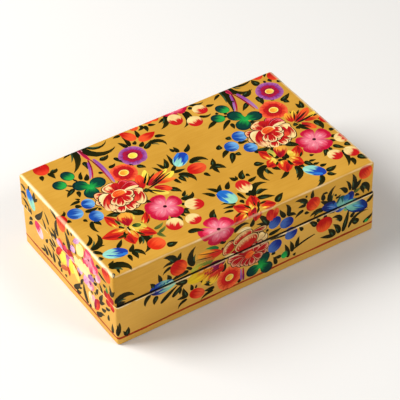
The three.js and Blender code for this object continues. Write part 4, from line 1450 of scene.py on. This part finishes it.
# %% Side walls, lid
def side_upper(place):
    leaves(place, [
        (-41.3+47.8j, -41+51.4j, 2.3), (-46.4+44.4j, -51.4+45.2j, 2.4, 0.9),
        (-46.4+41.6j, -51.9+39.3j, 2.3, 0.3), (-47.2+40.8j, -45.8+39.2j, 2.6),
        (-36.6+43.2j, -35.3+50j, 4.1, 0.3), (-35.2+44.8j, -31.8+48.4j, 2.1),
        (-36.2+30.8j, -27.2+41.9j, 3.7, 0.4), (-33+33.4j, -30.4+34.4j, 2.2),
        (-44.3+33.3j, -50.4+35.2j, 2.7, 0.7), (-44+29.5j, -44+34.3j, 2.2), (-41+29.5j, -41+33.8j, 2.2),
        (-48.6+31.4j, -47.2+29.8j, 2.6), (-8.3+36.8j, -7.8+48j, 3.7, -0.9),
        (-12.4+31.4j, -13+38.4j, 3.6, 0.3), (-13+33.2j, -18+33j, 2.2), (-13+35.6j, -16+37.4j, 2.2),
        (-9.4+48.8j, -17.4+51.6j, 2.7, 0.3), (-2.2+36.4j, -0.8+34.4j, 2.7), (5+47.3j, 3.9+51.2j, 3.1),
        (8.4+49.4j, 7.6+51.4j, 2.2), (4.6+34.6j, 0.3+45.9j, 4.7, 0.4), (8.8+30.2j, 8.2+33j, 3.2),
        (14+50.6j, 9.2+46.3j, 2.7), (35.4+46.4j, 39.9+48.6j, 2.7), (37.4+44j, 45.4+42.4j, 2.4),
        (50.2+36.8j, 48.9+41.8j, 2.7), (48.9+35.9j, 53.8+40.3j, 3.6, 0.3), (42+36.9j, 45.3+38.2j, 2.2),
        (31.5+34.5j, 36+35.6j, 2.4), (19.5+33j, 22.4+30.6j, 2.6), (-16+29.6j, -20.4+34j, 2.2),
        (-20+37j, -24+43j, 2.4, 0.5), (11.6+37.6j, 7.6+42.6j, 2.4, 0.6), (31+30j, 34.6+33j, 2.4),
        (40+30j, 37.6+35j, 2.6, 0.4), (20.6+38.8j, 18+42j, 2), (-24+30.4j, -27.4+36j, 2.4, 0.4),
        (27.4+30j, 29.8+35.4j, 2.2, -0.4),
    ])
    leaf(place, 45.5+33.3j, 45.4+38j, 2.8, 0.3, GREEN_LEAF)
    tulip_bud(place, -40+41.6j, 14.2, 8.2, -62, BLUE_AQUA)
    buds(place, [(-4+50j, 12, 10.2, -90), (46+48j, 10.4, 8.6, -60)], RED_ORANGE_BUD, (0.55, 0.6, 0.5))
    petals(place, [
        (-4+29j, -11+33j, 4.5, ("C08AC0", "E0A8C8"), 0.1),
        (-2+28.5j, -8+36j, 5.4, ("B0181E", "DE4A30"), 0.2),
        (0+28j, -1+35.4j, 4.4, ("A81038", "D83060"), 0.1), (1.4+28.5j, 7.5+35j, 5.8, RED, -0.2),
        (3+28.5j, 9.4+31.5j, 4, PALE_PINK, -0.2),
        (9.6+45.6j, 16.8+53j, 3.4, ("C080B0", "D8A0C0"), 0.2),
        (16+28j, 9.6+35.4j, 6.4, ("F4E8A4", "E8DC90"), 0.2),
        (18+29j, 17+38j, 6.4, ("F4E8A4", "E8DC90"), 0.1),
        (20+29j, 26.5+38.4j, 7.2, ("F2E4A8", "E8D890"), -0.2),
        (14+39.5j, 20+50j, 7.2, ("ECE89C", "D8DC88"), -0.1),
        (34+34j, 39+41j, 4.4, PALE_PINK, -0.2), (24.6+31j, 31.8+33.4j, 4.4, LILAC, 0.2),
        (5.4+37j, 10.8+41.6j, 4.4, ("C890C0", "E4B0CC"), 0.2), (31.6+38j, 36.4+46j, 4.6, PINK, -0.2),
    ])
    blossom(place, 26.5+44.5j, [26.5+52j, 33+47j, 31+37.5j, 22+36.5j, 20.5+46j],
            "F8A8B4", "D82C5C", 0.9)
    petals(place, [
        (47+28.2j, 43+34.4j, 4.4, RED, 0.2), (47.4+28j, 48+35.4j, 4.6, RED_ORANGE, 0),
        (48+28.2j, 52.4+34j, 4.4, RED, -0.2),
    ])


# %% Side walls, base
def side_lower(place):
    tulip_bud(place, -34.6+22.8j, 12, 8.2, -55, ("D82A5C", "FBC4C8"))
    leaves(place, [
        (-42.4+22.6j, -46.8+18.3j, 2.7), (-42+26j, -45.8+22.8j, 2.6), (-21.6+25.4j, -16.2+23.8j, 3),
        (-26+9.3j, -29.8+14.3j, 4.1, 0.4), (-29+11.2j, -33.3+9.8j, 2.2), (-20.4+11.3j, -26.3+15.9j, 3, 0.3),
        (-18+9.9j, -18.9+17.9j, 3.2, 0.3), (-11.6+10.9j, -10.4+15.4j, 3.6), (-10+15.4j, -15.4+17.6j, 2.3),
        (-9.6+8.4j, -8.9+11.4j, 2.3), (-4.6+8.6j, -3.4+10.4j, 2.4), (2.4+25.4j, 8.4+26.1j, 2.7, 0.3),
        (5+7.9j, 12.3+16.3j, 3.6, 0.3), (8+7.4j, 12.8+10.2j, 3.1), (20.9+7.3j, 17.8+19.4j, 3.9, -0.5),
        (22.4+6j, 24.2+9.6j, 2.4), (34.4+20.8j, 38.2+27.4j, 3.2, 0.3), (34.9+18.4j, 40.4+22.2j, 3, -0.3),
        (36.9+15.4j, 41.4+18.5j, 2.7), (29.4+22.8j, 30.6+21.2j, 2.2), (25.4+20.8j, 26.6+19.2j, 2.4),
        (30.4+6.9j, 37.4+12.3j, 3.6, 0.3), (33.9+9.4j, 39.4+12.2j, 2.3), (47.7+5.9j, 48.1+12.4j, 3, 0.3),
        (52.4+7.3j, 55.2+16.4j, 4.2, 0.3), (-27+19.5j, -24.4+23j, 2.6), (43.6+12.5j, 44.6+17j, 2.6, 0.3),
        (-14.6+24j, -19.4+28j, 2.4, 0.4), (-16.4+19.6j, -21.6+21.4j, 2.2, 0.4),
        (14+17j, 17.6+23j, 2.6, -0.4), (12.4+22j, 15.4+28j, 2.2, -0.3), (31.6+23j, 34+28j, 2.6, -0.3),
        (9.6+12j, 14.4+14.6j, 2.2, 0.3), (41.6+20j, 46.4+22.6j, 2.4, 0.3),
    ])
    petals(place, [
        (-7+29.5j, -14.6+19.6j, 4.6, RED_ORANGE, -0.25),
        (1+30j, -1+19j, 6, ("B8508A", "DC8AB0"), 0.1),
        (-4.4+27.6j, -8.2+17.2j, 7, ("F2E05A", "F0D848"), -0.1),
        (2.6+28j, 3.4+17.4j, 7.2, ("F4E44A", "F0D83C"), 0.1),
        (6+26.5j, 11.6+16.5j, 5, ("F2E27A", "EFDC68"), 0.2),
        (-0.5+17j, -10+12j, 3.4, ("C85028", "BE6432"), 0.3),
        (-0.5+16.4j, 8.2+25.6j, 3.2, ("C85028", "BE6432"), -0.7),
        (-0.8+24j, 0.2+12.6j, 3.4, RED_ORANGE, 0.1), (3.6+27.4j, 9.6+25j, 3.4, RED_ORANGE, 0.2),
        (26+7.8j, 23.4+19j, 4.8, CREAM, 0.2),
        (26.4+7.8j, 28.2+19.4j, 4.8, ("F6D488", "F2A8B0"), -0.1),
        (30+9.4j, 34+20j, 4.8, RED_ORANGE, -0.2),
        (28.8+9j, 31+18.4j, 3.6, CRIMSON, 0), (10.4+26j, 16.4+29j, 4.4, ("C890C0", "E4B0CC"), 0.2),
        (6.8+20j, 11.6+24.6j, 4.2, RED_ORANGE, 0.2),
        (17.6+22j, 23.6+29.4j, 6, ("D890B8", "E8A8C4"), 0.2),
        (21.6+21.4j, 28.4+27.6j, 5.6, PALE_PINK, 0.2),
        (24.6+24.8j, 26.4+28j, 3.2, PURPLE, 0), (47+28j, 42.6+24.6j, 4.2, RED, 0.2),
        (48+28.6j, 50.4+23.6j, 4.4, RED_ORANGE, 0.1),
    ])


for wall in (LEFT, RIGHT):
    side_upper(Place(wall))
    side_lower(Place(wall))
print("left wall:", len(LEFT.strokes), "strokes")

# %% [markdown]
# Every stroke is now made by one Geometry Nodes tree. A point carries its foot, its chord, its
# outline and its colours. The tree lays a small grid on each point and bends it along the arc. The
# outer row of the grid is tucked just under the ground, so the paint has an edge and no gap.

# %% Stroke tree
STROKE_EDGE = 0.12
STROKE_CROWN = 0.003
FIRST_LIFT = 0.02
LEVEL_LIFT = 0.0075
ORDER_LIFT = 0.0008
ATLAS_COLUMNS = 16


def grow_strokes(board):
    """The node chain from points to finished strokes."""

    def given(name):
        return board.add("NodeGroupInput", output=name)

    def carried(name, kind="FLOAT"):
        return board.add("GeometryNodeInputNamedAttribute", {"data_type": kind}, {"Name": name})

    def store(geometry, name, value, kind="FLOAT", domain="POINT"):
        return board.add(
            "GeometryNodeStoreNamedAttribute",
            {"data_type": kind, "domain": domain},
            {"Geometry": geometry, "Name": name, "Value": value},
        )

    cells_along = given("Cells along")
    cells_across = given("Cells across")
    grid = board.add(
        "GeometryNodeMeshGrid",
        {},
        {"Size X": 1.0, "Size Y": 2.0, "Vertices X": cells_along + 1, "Vertices Y": cells_across + 1},
    )
    grid_x, grid_y, _ = board.split(board.add("GeometryNodeInputPosition"))
    grid = store(grid, "along", grid_x + 0.5)
    grid = store(grid, "across", grid_y)
    strokes = board.add(
        "GeometryNodeInstanceOnPoints", {}, {"Points": given("Geometry"), "Instance": grid}
    )
    strokes = board.add("GeometryNodeRealizeInstances", {}, {"Geometry": strokes})

    along = carried("along")
    v = carried("across")
    seed = carried("seed")
    foot_x, foot_y, lift = board.split(carried("foot", "FLOAT_VECTOR"))
    chord_x, chord_y, bend = board.split(carried("chord", "FLOAT_VECTOR"))
    half, swell, close = board.split(carried("form", "FLOAT_VECTOR"))

    u = (1.0 - (along * math.pi).math("COSINE")) * 0.5
    length = (chord_x * chord_x + chord_y * chord_y).math("SQRT")
    start = chord_y.math("ARCTAN2", chord_x) - bend * 0.5
    radius = length / ((bend * 0.5).math("SINE") * 2.0)
    angle = start + bend * u
    spine_x = foot_x + radius * (angle.math("SINE") - start.math("SINE"))
    spine_y = foot_y - radius * (angle.math("COSINE") - start.math("COSINE"))

    side = v.math("SIGN")
    wobble = board.noise(board.join(u * 2.2, side * 7.0, seed * 91.0), 1.0) * 0.14 + 0.93
    profile = u.math("MAXIMUM", 0.0) ** swell * (1.0 - u).math("MAXIMUM", 0.0) ** close
    reach = half * carried("fullness") * profile * wobble
    inner = (reach - given("Edge")).math("MAXIMUM", 0.0)
    share = v.math("ABSOLUTE") / (1.0 - 2.0 / cells_across)
    outer = share.math("GREATER_THAN", 1.0 + 0.5 / cells_across)
    offset = side * (outer * reach + (1.0 - outer) * share * inner)
    ends = board.math("LESS_THAN", (along - 0.5).math("ABSOLUTE"), 0.4999)
    hump = (1.0 - share * share) * (inner / 0.3).math("MINIMUM", 1.0) * given("Crown")
    shown = ends * (1.0 - outer)
    height = shown * (lift + hump) + (1.0 - shown) * TUCK
    place = board.join(
        spine_x - angle.math("SINE") * offset, spine_y + angle.math("COSINE") * offset, height
    )
    strokes = board.add("GeometryNodeSetPosition", {}, {"Geometry": strokes, "Position": place})

    column, row, rows = board.split(carried("cell", "FLOAT_VECTOR"))
    atlas_x = (column + 0.04 + 0.92 * u) / float(ATLAS_COLUMNS)
    atlas_y = (row + 0.5 + 0.4 * v) / rows
    strokes = store(strokes, "brush", board.join(u, v, seed), "FLOAT_VECTOR")
    strokes = store(strokes, "OFBake", board.join(atlas_x, atlas_y, 0.0), "FLOAT2", "CORNER")
    strokes = board.add("GeometryNodeMergeByDistance", {}, {"Geometry": strokes, "Distance": 0.002})
    strokes = board.add("GeometryNodeSetMaterial", {}, {"Geometry": strokes, "Material": given("Paint")})
    board.add("NodeGroupOutput", {}, {"Geometry": strokes})


print("strokes rise", FIRST_LIFT + LEVEL_LIFT, "mm and more above the ground")

# %% Inputs of the tree
stroke_tree = bpy.data.node_groups.new("brush_strokes", "GeometryNodeTree")
STROKE_INPUTS = {}
for label, kind in (
    ("Geometry", "Geometry"), ("Cells along", "Int"), ("Cells across", "Int"),
    ("Edge", "Float"), ("Crown", "Float"), ("Paint", "Material"),
):
    made = stroke_tree.interface.new_socket(label, in_out="INPUT", socket_type=f"NodeSocket{kind}")
    STROKE_INPUTS[label] = made.identifier
stroke_tree.interface.new_socket("Geometry", in_out="OUTPUT", socket_type="NodeSocketGeometry")
grow_strokes(Board(stroke_tree))
print("stroke tree has", len(stroke_tree.nodes), "nodes")

# %% [markdown]
# The paint itself. The second colour is pulled over the first by a split brush, so the place where
# they meet is shifted by noise that runs along the stroke. Body colour is never quite even, and a
# clear coat of varnish goes over everything.


# %% Paint
def brushed_paint():
    made, board = new_material("brushed_paint")

    def carried(name, output):
        return board.add("ShaderNodeAttribute", {"attribute_name": name}, output=output)

    u, v, seed = board.split(carried("brush", "Vector"))
    centre, softness, streak = board.split(carried("shade", "Vector"))
    hairs = board.noise(board.join(u * 0.8, v * 4.5, seed * 97.0), 1.0, 2.0)
    ragged = (hairs - 0.5) * streak * 1.5
    pulled = board.smooth((u - centre + ragged) / softness + 0.5, 0.0, 1.0)
    colour = board.mix(pulled, carried("root", "Color"), carried("tip", "Color"))
    load = board.noise(board.join(u * 3.0, v * 2.0, seed * 53.0), 1.0, 3.0)
    body = (load * 0.5 + hairs * 0.6 + 0.45) * (1.0 - (v * v * v * v) * 0.2)
    colour = board.mix(1.0, colour, board.join(body, body, body), "MULTIPLY")
    place = board.add("ShaderNodeTexCoord", output="Object")
    # Painted highlight: a pale line along the base's rim, broken into chips, over the paint too.
    colour = board.mix(rim_highlight(board, place) * 0.6, colour, rgb(RIM_HIGHLIGHT_COLOUR))
    # Painted highlight: a pale band along the lid's top edges, over the paint too.
    colour = board.mix(arris_highlight(board, place) * 0.55, colour, rgb(ARRIS_HIGHLIGHT_COLOUR))
    board.surface(
        Base_Color=colour,
        Roughness=0.32 + 0.12 * hairs,
        Normal=board.bump(hairs * 0.6 + load * 0.4, 0.12, 0.0002),
        **CLEAR_COAT,
    )
    return made


paint = brushed_paint()
print("paint", paint.name)


# %% Points that carry the strokes
def stroke_points(strokes, first, total):
    """A mesh of loose points, one for each stroke, that carries what the tree needs."""
    mesh = bpy.data.meshes.new("stroke_points")
    mesh.from_pydata([(0.0, 0.0, 0.0)] * len(strokes), [], [])
    rows = math.ceil(total / ATLAS_COLUMNS)
    names = ("foot", "chord", "form", "shade", "cell", "root", "tip", "fullness", "seed")
    table = {name: [] for name in names}
    for k, stroke in enumerate(strokes):
        p, q = stroke["shape"]
        peak = p / (p + q)
        lift = FIRST_LIFT + LEVEL_LIFT * stroke["level"] + ORDER_LIFT * (k % 7)
        table["foot"].append((*stroke["foot"], lift))
        table["chord"].append(stroke["chord"])
        table["form"].append((stroke["width"] / 2, p, q))
        table["shade"].append(stroke["blend"])
        table["cell"].append(((first + k) % ATLAS_COLUMNS, (first + k) // ATLAS_COLUMNS, rows))
        table["root"].append(rgb(stroke["paint"][0]))
        table["tip"].append(rgb(stroke["paint"][1]))
        table["fullness"].append(1 / (peak**p * (1 - peak) ** q))
        table["seed"].append(stroke["seed"])
    kinds = {1: ("FLOAT", "value"), 3: ("FLOAT_VECTOR", "vector"), 4: ("FLOAT_COLOR", "color")}
    for name, values in table.items():
        values = np.array(values, dtype=np.float32).reshape(len(strokes), -1)
        kind, key = kinds[values.shape[1]]
        layer = mesh.attributes.new(name, kind, "POINT")
        layer.data.foreach_set(key, values.ravel())
    return mesh


def flat_strokes(strokes, cells, first, total):
    """Runs the tree and returns the strokes as a plain flat mesh in millimetres."""
    points = bpy.data.objects.new("stroke_points", stroke_points(strokes, first, total))
    bpy.context.scene.collection.objects.link(points)
    modifier = points.modifiers.new("strokes", "NODES")
    modifier.node_group = stroke_tree
    given = {
        "Cells along": cells[0], "Cells across": cells[1],
        "Edge": STROKE_EDGE, "Crown": STROKE_CROWN, "Paint": paint,
    }
    for label, value in given.items():
        modifier[STROKE_INPUTS[label]] = value
    graph = bpy.context.evaluated_depsgraph_get()
    mesh = bpy.data.meshes.new_from_object(points.evaluated_get(graph))
    source = points.data
    bpy.data.objects.remove(points)
    bpy.data.meshes.remove(source)
    for name in ("along", "across", "foot", "chord", "form", "cell", "fullness", "seed"):
        if name in mesh.attributes:
            mesh.attributes.remove(mesh.attributes[name])
    return mesh


print("strokes to make:", sum(len(s.strokes) for s in (TOP, FRONT, BACK, LEFT, RIGHT)))

# %% [markdown]
# The flat paint is cut along the lines where the box's surface bends, so that it can fold round an
# arris without bridging it. It is cut at the two sawn rims too, as the saw cut it on the real box,
# which was painted closed. Then every point is carried onto the surface.


# %% Cutting
def bend_stops(edge, side, inside, outside):
    near = [edge - side * stop for stop in arc_stops(inside)]
    far = [edge + side * stop for stop in arc_stops(outside)]
    return [*near, edge, *far]


def cut(bm, axis, stops):
    """Splits the faces that lie over any of the stops on one axis."""
    near = []
    for face in bm.faces:
        values = [vert.co[axis] for vert in face.verts]
        if max(values) > min(stops) and min(values) < max(stops):
            near.append(face)
    normal = Vector((0, 0, 0))
    normal[axis] = 1
    for stop in sorted(stops):
        if not near:
            break
        parts = {*near}
        for face in near:
            parts.update(face.edges)
            parts.update(face.verts)
        made = bmesh.ops.bisect_plane(
            bm, geom=[*parts], dist=1e-4, plane_co=normal * stop, plane_no=normal
        )
        near = [part for part in made["geom"] if isinstance(part, bmesh.types.BMFace)]


print("an arris is cut at", len(bend_stops(0, 1, CORNER_RADIUS, TOP_ARRIS)), "lines")


# %% Folding
SAW_SLACK = 1e-3


def fold_onto_box(bm, sheet, body):
    """Carries flat paint onto the box and remembers the ground's normals."""
    ground = bm.verts.layers.float_vector.new("ground")
    flat = np.array([vert.co for vert in bm.verts])
    places, normals = surface(sheet.fold(flat[:, :2]), flat[:, 2], body)
    for vert, place, normal in zip(bm.verts, places, normals):
        vert.co = Vector(place) * MM
        vert[ground] = Vector(normal)


def belongs(face, sheet, body):
    """Whether a face of flat paint lies on this body's side of the saw cut."""
    if sheet is TOP:
        return body == "lid"
    heights = [vert.co[1] for vert in face.verts]
    if body == "base":
        return max(heights) <= BASE_RIM + SAW_SLACK
    return min(heights) >= LID_RIM - SAW_SLACK


def painted_parts(sheet, strokes, cells, first, total):
    """Meshes of one sheet's paint for the lid and for the base."""
    flat = flat_strokes(strokes, cells, first, total)
    bm = bmesh.new()
    bm.from_mesh(flat)
    bpy.data.meshes.remove(flat)
    outside = TOP_ARRIS if sheet is TOP else CORNER_RADIUS
    if sheet is TOP:
        for edge, side in ((-HALF_Y, -1), (HALF_Y, 1)):
            cut(bm, 1, bend_stops(edge, side, CORNER_RADIUS, outside))
    else:
        cut(bm, 1, bend_stops(HEIGHT, 1, TOP_ARRIS, CORNER_RADIUS))
        cut(bm, 1, [BASE_RIM - stop for stop in (*RIM_STOPS, 0)])
        cut(bm, 1, [LID_RIM + stop for stop in (*RIM_STOPS, 0)])
    for edge, side in ((sheet.low[0], -1), (sheet.high[0], 1)):
        cut(bm, 0, bend_stops(edge, side, CORNER_RADIUS, outside))
    made = {}
    for body in ("lid", "base"):
        part = bm.copy()
        doomed = [face for face in part.faces if not belongs(face, sheet, body)]
        bmesh.ops.delete(part, geom=doomed, context="FACES")
        if part.faces:
            fold_onto_box(part, sheet, body)
            mesh = bpy.data.meshes.new("paint_part")
            part.to_mesh(mesh)
            made[body] = mesh
        part.free()
    bm.free()
    return made


def painting(name, parts, body):
    """Joins painted parts into one piece with the ground's own normals."""
    bm = bmesh.new()
    for part in parts:
        bm.from_mesh(part)
        bpy.data.meshes.remove(part)
    for face in bm.faces:
        face.smooth = True
    made = finish_mesh(name, bm, [paint], body)
    mesh = made.data
    normals = np.empty(len(mesh.vertices) * 3, dtype=np.float32)
    mesh.attributes["ground"].data.foreach_get("vector", normals)
    mesh.attributes.remove(mesh.attributes["ground"])
    mesh.normals_split_custom_set_from_vertices(normals.reshape(-1, 3).tolist())
    print(name, len(mesh.polygons), "faces")


print("the walls' paint is cut at", round(BASE_RIM, 1), "and", round(LID_RIM, 1), "mm")


# %% The painted pieces
LEAF_CELLS = (10, 4)
FLOWER_CELLS = (14, 6)
WALLS = (FRONT, BACK, LEFT, RIGHT)
for kind, cells in (("leaves", LEAF_CELLS), ("flowers", FLOWER_CELLS)):
    chosen = [stroke for stroke in TOP.strokes if stroke["kind"] == kind]
    parts = painted_parts(TOP, chosen, cells, 0, len(chosen))
    painting(f"lid_top_{kind}", [parts["lid"]], "lid")
    chosen = {sheet.name: [s for s in sheet.strokes if s["kind"] == kind] for sheet in WALLS}
    total = sum(len(strokes) for strokes in chosen.values())
    gathered = {"lid": [], "base": []}
    first = 0
    for sheet in WALLS:
        strokes = chosen[sheet.name]
        for body, part in painted_parts(sheet, strokes, cells, first, total).items():
            gathered[body].append(part)
        first += len(strokes)
    for body, parts in gathered.items():
        painting(f"{body}_wall_{kind}", parts, body)

# %% [markdown]
# The parts that stay as they were packed get their own surfaces: sawn softwood, black lacquer on
# the pasteboard neck and on the rims the hand meets, and drawn steel for the nails.


# %% Wood, neck and nails
BLACK_FROM = 28.2
BLACK_TO = 36.2
NECK_TOP = 35.0
NECK_WORN = 0.55


def board_wood(name, stretch):
    made, board = new_material(name)
    place = board.add("ShaderNodeTexCoord", output="Object")
    rings = board.noise(board.stretch(place, stretch), 1.0, 3.0, 0.6)
    fibre = board.noise(board.stretch(place, tuple(6.0 * s for s in stretch)), 1.0, 2.0)
    colour = board.mix(board.smooth(rings, 0.35, 0.65), rgb("C9A878"), rgb("A98252"))
    colour = board.mix(fibre * 0.35, colour, rgb("7E5C36"))
    z = board.split(place)[2]
    lacquered = board.math("GREATER_THAN", z, BLACK_FROM * MM) * board.math("LESS_THAN", z, BLACK_TO * MM)
    colour = board.mix(lacquered, colour, rgb("1B1410"))
    board.surface(
        Base_Color=colour,
        Roughness=0.75 - 0.4 * lacquered,
        Normal=board.bump(fibre, 0.25, 0.0003),
    )
    return made


def neck_lacquer():
    made, board = new_material("neck_lacquer")
    place = board.add("ShaderNodeTexCoord", output="Object")
    z = board.split(place)[2]
    cloud = board.noise(place, 140.0, 3.0)
    worn = board.smooth(z + (cloud - 0.5) * 0.0012, (NECK_TOP - NECK_WORN) * MM, NECK_TOP * MM)
    colour = board.mix(board.noise(place, 60.0), rgb("120D0A"), rgb("2A1B12"))
    board.surface(
        Base_Color=board.mix(worn * 0.8, colour, rgb("7A5230")),
        Roughness=0.28 + 0.3 * worn,
        Normal=board.bump(cloud, 0.12, 0.0003),
        Coat_Weight=0.4,
        Coat_Roughness=0.2,
    )
    return made


def nail_steel():
    made, board = new_material("nail_steel")
    place = board.add("ShaderNodeTexCoord", output="Object")
    drawn = board.noise(place, 900.0)
    board.surface(Base_Color=rgb("A9A7A2"), Metallic=1.0, Roughness=0.3 + 0.2 * drawn)
    return made


wood_along_x = board_wood("wood_along_x", (45.0, 700.0, 700.0))
wood_along_y = board_wood("wood_along_y", (700.0, 45.0, 700.0))
neck = neck_lacquer()
steel = nail_steel()
for name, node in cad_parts.items():
    if "nail" in name:
        used = steel
    elif name.startswith("neck"):
        used = neck
    elif name.endswith(("left_board", "right_board")):
        used = wood_along_y
    elif name.endswith("board"):
        used = wood_along_x
    else:
        continue
    for slot in node.material_slots:
        slot.material = used
print("boards, neck and nails done")

# %% [markdown]
# The inside is lined with velvet over thin card. A card-backed pad is almost flat: it swells a little
# in the middle and rolls over at its edge. The wall lining is one strip folded round the four
# corners, held flat by the card, and turned over the card's upper and lower edges.

# %% Velvet
PAD_ROLL = 0.55
PAD_SWELL = {"base": 0.35, "lid": 0.3}
PAD_CELL = 2.0
PAD_MARGIN = 1.2
STRIP_RADIUS = 1.6
STRIP_THICK = 0.8
STRIP_ROUND = 0.25
STRIP_CELL = 4
FOLD_CELLS = 6
SLIT = 0.4
SLIT_FROM_CORNER = 12.0


def velvet_cloth():
    made, board = new_material("velvet")
    place = board.add("ShaderNodeTexCoord", output="Object")
    nap = board.noise(place, 26.0, 3.0)
    brushed = board.noise(board.stretch(place, (50.0, 120.0, 120.0)), 1.0, 2.0)
    pile = board.noise(place, 3800.0, 1.0)
    tone = board.smooth(nap * 0.6 + brushed * 0.4, 0.35, 0.65)
    colour = board.mix(tone, rgb("3E0A12"), rgb("6E1620"))
    colour = board.mix(pile * 0.4, colour, rgb("2C060C"))
    board.surface(
        Base_Color=colour,
        Roughness=0.9,
        Normal=board.bump(pile * 0.7 + nap * 0.3, 0.4, 0.0003),
        Sheen_Weight=0.5,
        Sheen_Roughness=0.35,
        Sheen_Tint=rgb("C86A70"),
    )
    return made


velvet = velvet_cloth()
print("made", velvet.name)


# %% Pads
def pad(name, node, body, way):
    """A card pad with a rolled edge whose open face looks along way, up or down."""
    low, high = (np.array(corner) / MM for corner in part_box(node))
    middle = (low + high) / 2
    half = (high - low) / 2
    swell = PAD_SWELL[body]
    bm = bmesh.new()
    bmesh.ops.create_cube(bm, size=2.0)
    for vert in bm.verts:
        vert.co = Vector(np.array(vert.co) * (half - np.array([0, 0, swell / 2])))
    face_edges = [e for e in bm.edges if all(v.co.z > 0 for v in e.verts)]
    uprights = [e for e in bm.edges if e.verts[0].co.z * e.verts[1].co.z < 0]
    bmesh.ops.bevel(
        bm, geom=[*face_edges, *uprights], offset=PAD_ROLL, segments=4, profile=0.5, affect="EDGES"
    )
    for axis in (0, 1):
        inner = half[axis] - PAD_MARGIN
        cut(bm, axis, [*np.linspace(-inner, inner, round(inner / PAD_CELL) + 1)])
    top_level = max(v.co.z for v in bm.verts)
    for vert in bm.verts:
        x, y = vert.co.x / half[0], vert.co.y / half[1]
        share = (vert.co.z + top_level) / (2 * top_level)
        rise_here = swell * (1 - x**4) * (1 - y**4)
        ripple = 0.04 * math.sin(vert.co.x / 7.3 + math.sin(vert.co.y / 9.0)) * math.sin(vert.co.y / 6.1)
        vert.co.z += share**3 * (rise_here + ripple * (1 - x * x) * (1 - y * y)) - swell / 2
        vert.co.z *= way
        vert.co = (Vector(middle) + vert.co) * MM
    if way < 0:
        bmesh.ops.reverse_faces(bm, faces=bm.faces)
    for face in bm.faces:
        face.smooth = True
    made = finish_mesh(name, bm, [velvet], body, sharp=60)
    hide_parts(node)


pad("floor_velvet", "base_floor_pad", "base", 1)
pad("ceiling_velvet", "lid_ceiling_pad", "lid", -1)
print("pads swell by", PAD_SWELL)


# %% Wall linings
def strip_path(low, high):
    """Plan of the strip's outer face, from one side of the slit round to the other."""
    half = (high - low)[:2] / 2 - STRIP_RADIUS
    middle = (high + low)[:2] / 2
    points = []
    for corner, (sx, sy) in enumerate(((1, 1), (-1, 1), (-1, -1), (1, -1))):
        for k in range(FOLD_CELLS + 1):
            turn = math.pi / 2 * (corner + k / FOLD_CELLS)
            points.append((sx * half[0], sy * half[1], turn))
    start = (half[0], half[1] - SLIT_FROM_CORNER, 0.0)
    ring = [*points, start]
    made = []
    for (x0, y0, t0), (x1, y1, _) in zip(ring, ring[1:]):
        made.append((x0, y0, t0))
        gap = math.hypot(x1 - x0, y1 - y0)
        count = int(gap / STRIP_CELL)
        for k in range(1, count):
            share = k / count
            made.append((x0 + (x1 - x0) * share, y0 + (y1 - y0) * share, t0))
    made.append((start[0], start[1], 2 * math.pi))
    made.insert(0, (start[0], start[1] + SLIT, 0.0))
    return middle, made


def wall_lining(name, node, body):
    low, high = (np.array(corner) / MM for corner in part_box(node))
    middle, path = strip_path(low, high)
    section = [
        (0.0, low[2]), (0.0, high[2] - STRIP_ROUND),
        (STRIP_ROUND, high[2]), (STRIP_THICK - STRIP_ROUND, high[2]),
        (STRIP_THICK, high[2] - STRIP_ROUND), (STRIP_THICK, low[2]),
    ]
    bm = bmesh.new()
    rings = []
    for k, (x, y, turn) in enumerate(path):
        out = np.array([math.cos(turn), math.sin(turn)])
        ring = []
        for depth, z in section:
            breath = 0.06 * math.sin(k / 2.3) if depth == STRIP_THICK else 0.0
            plan = middle + (x, y) + out * (STRIP_RADIUS - depth + breath)
            ring.append(bm.verts.new(Vector((*plan, z)) * MM))
        rings.append(ring)
    for one, two in zip(rings, rings[1:]):
        for k in range(len(section)):
            after = (k + 1) % len(section)
            bm.faces.new((one[k], two[k], two[after], one[after])).smooth = True
    bm.faces.new(rings[0])
    bm.faces.new(rings[-1][::-1])
    bmesh.ops.recalc_face_normals(bm, faces=bm.faces)
    made = finish_mesh(name, bm, [velvet], body, sharp=60)
    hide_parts(node)


wall_lining(
    "base_lining_velvet", "base_wall_lining", "base",
)
wall_lining(
    "lid_lining_velvet", "lid_wall_lining", "lid",
)

# %% [markdown]
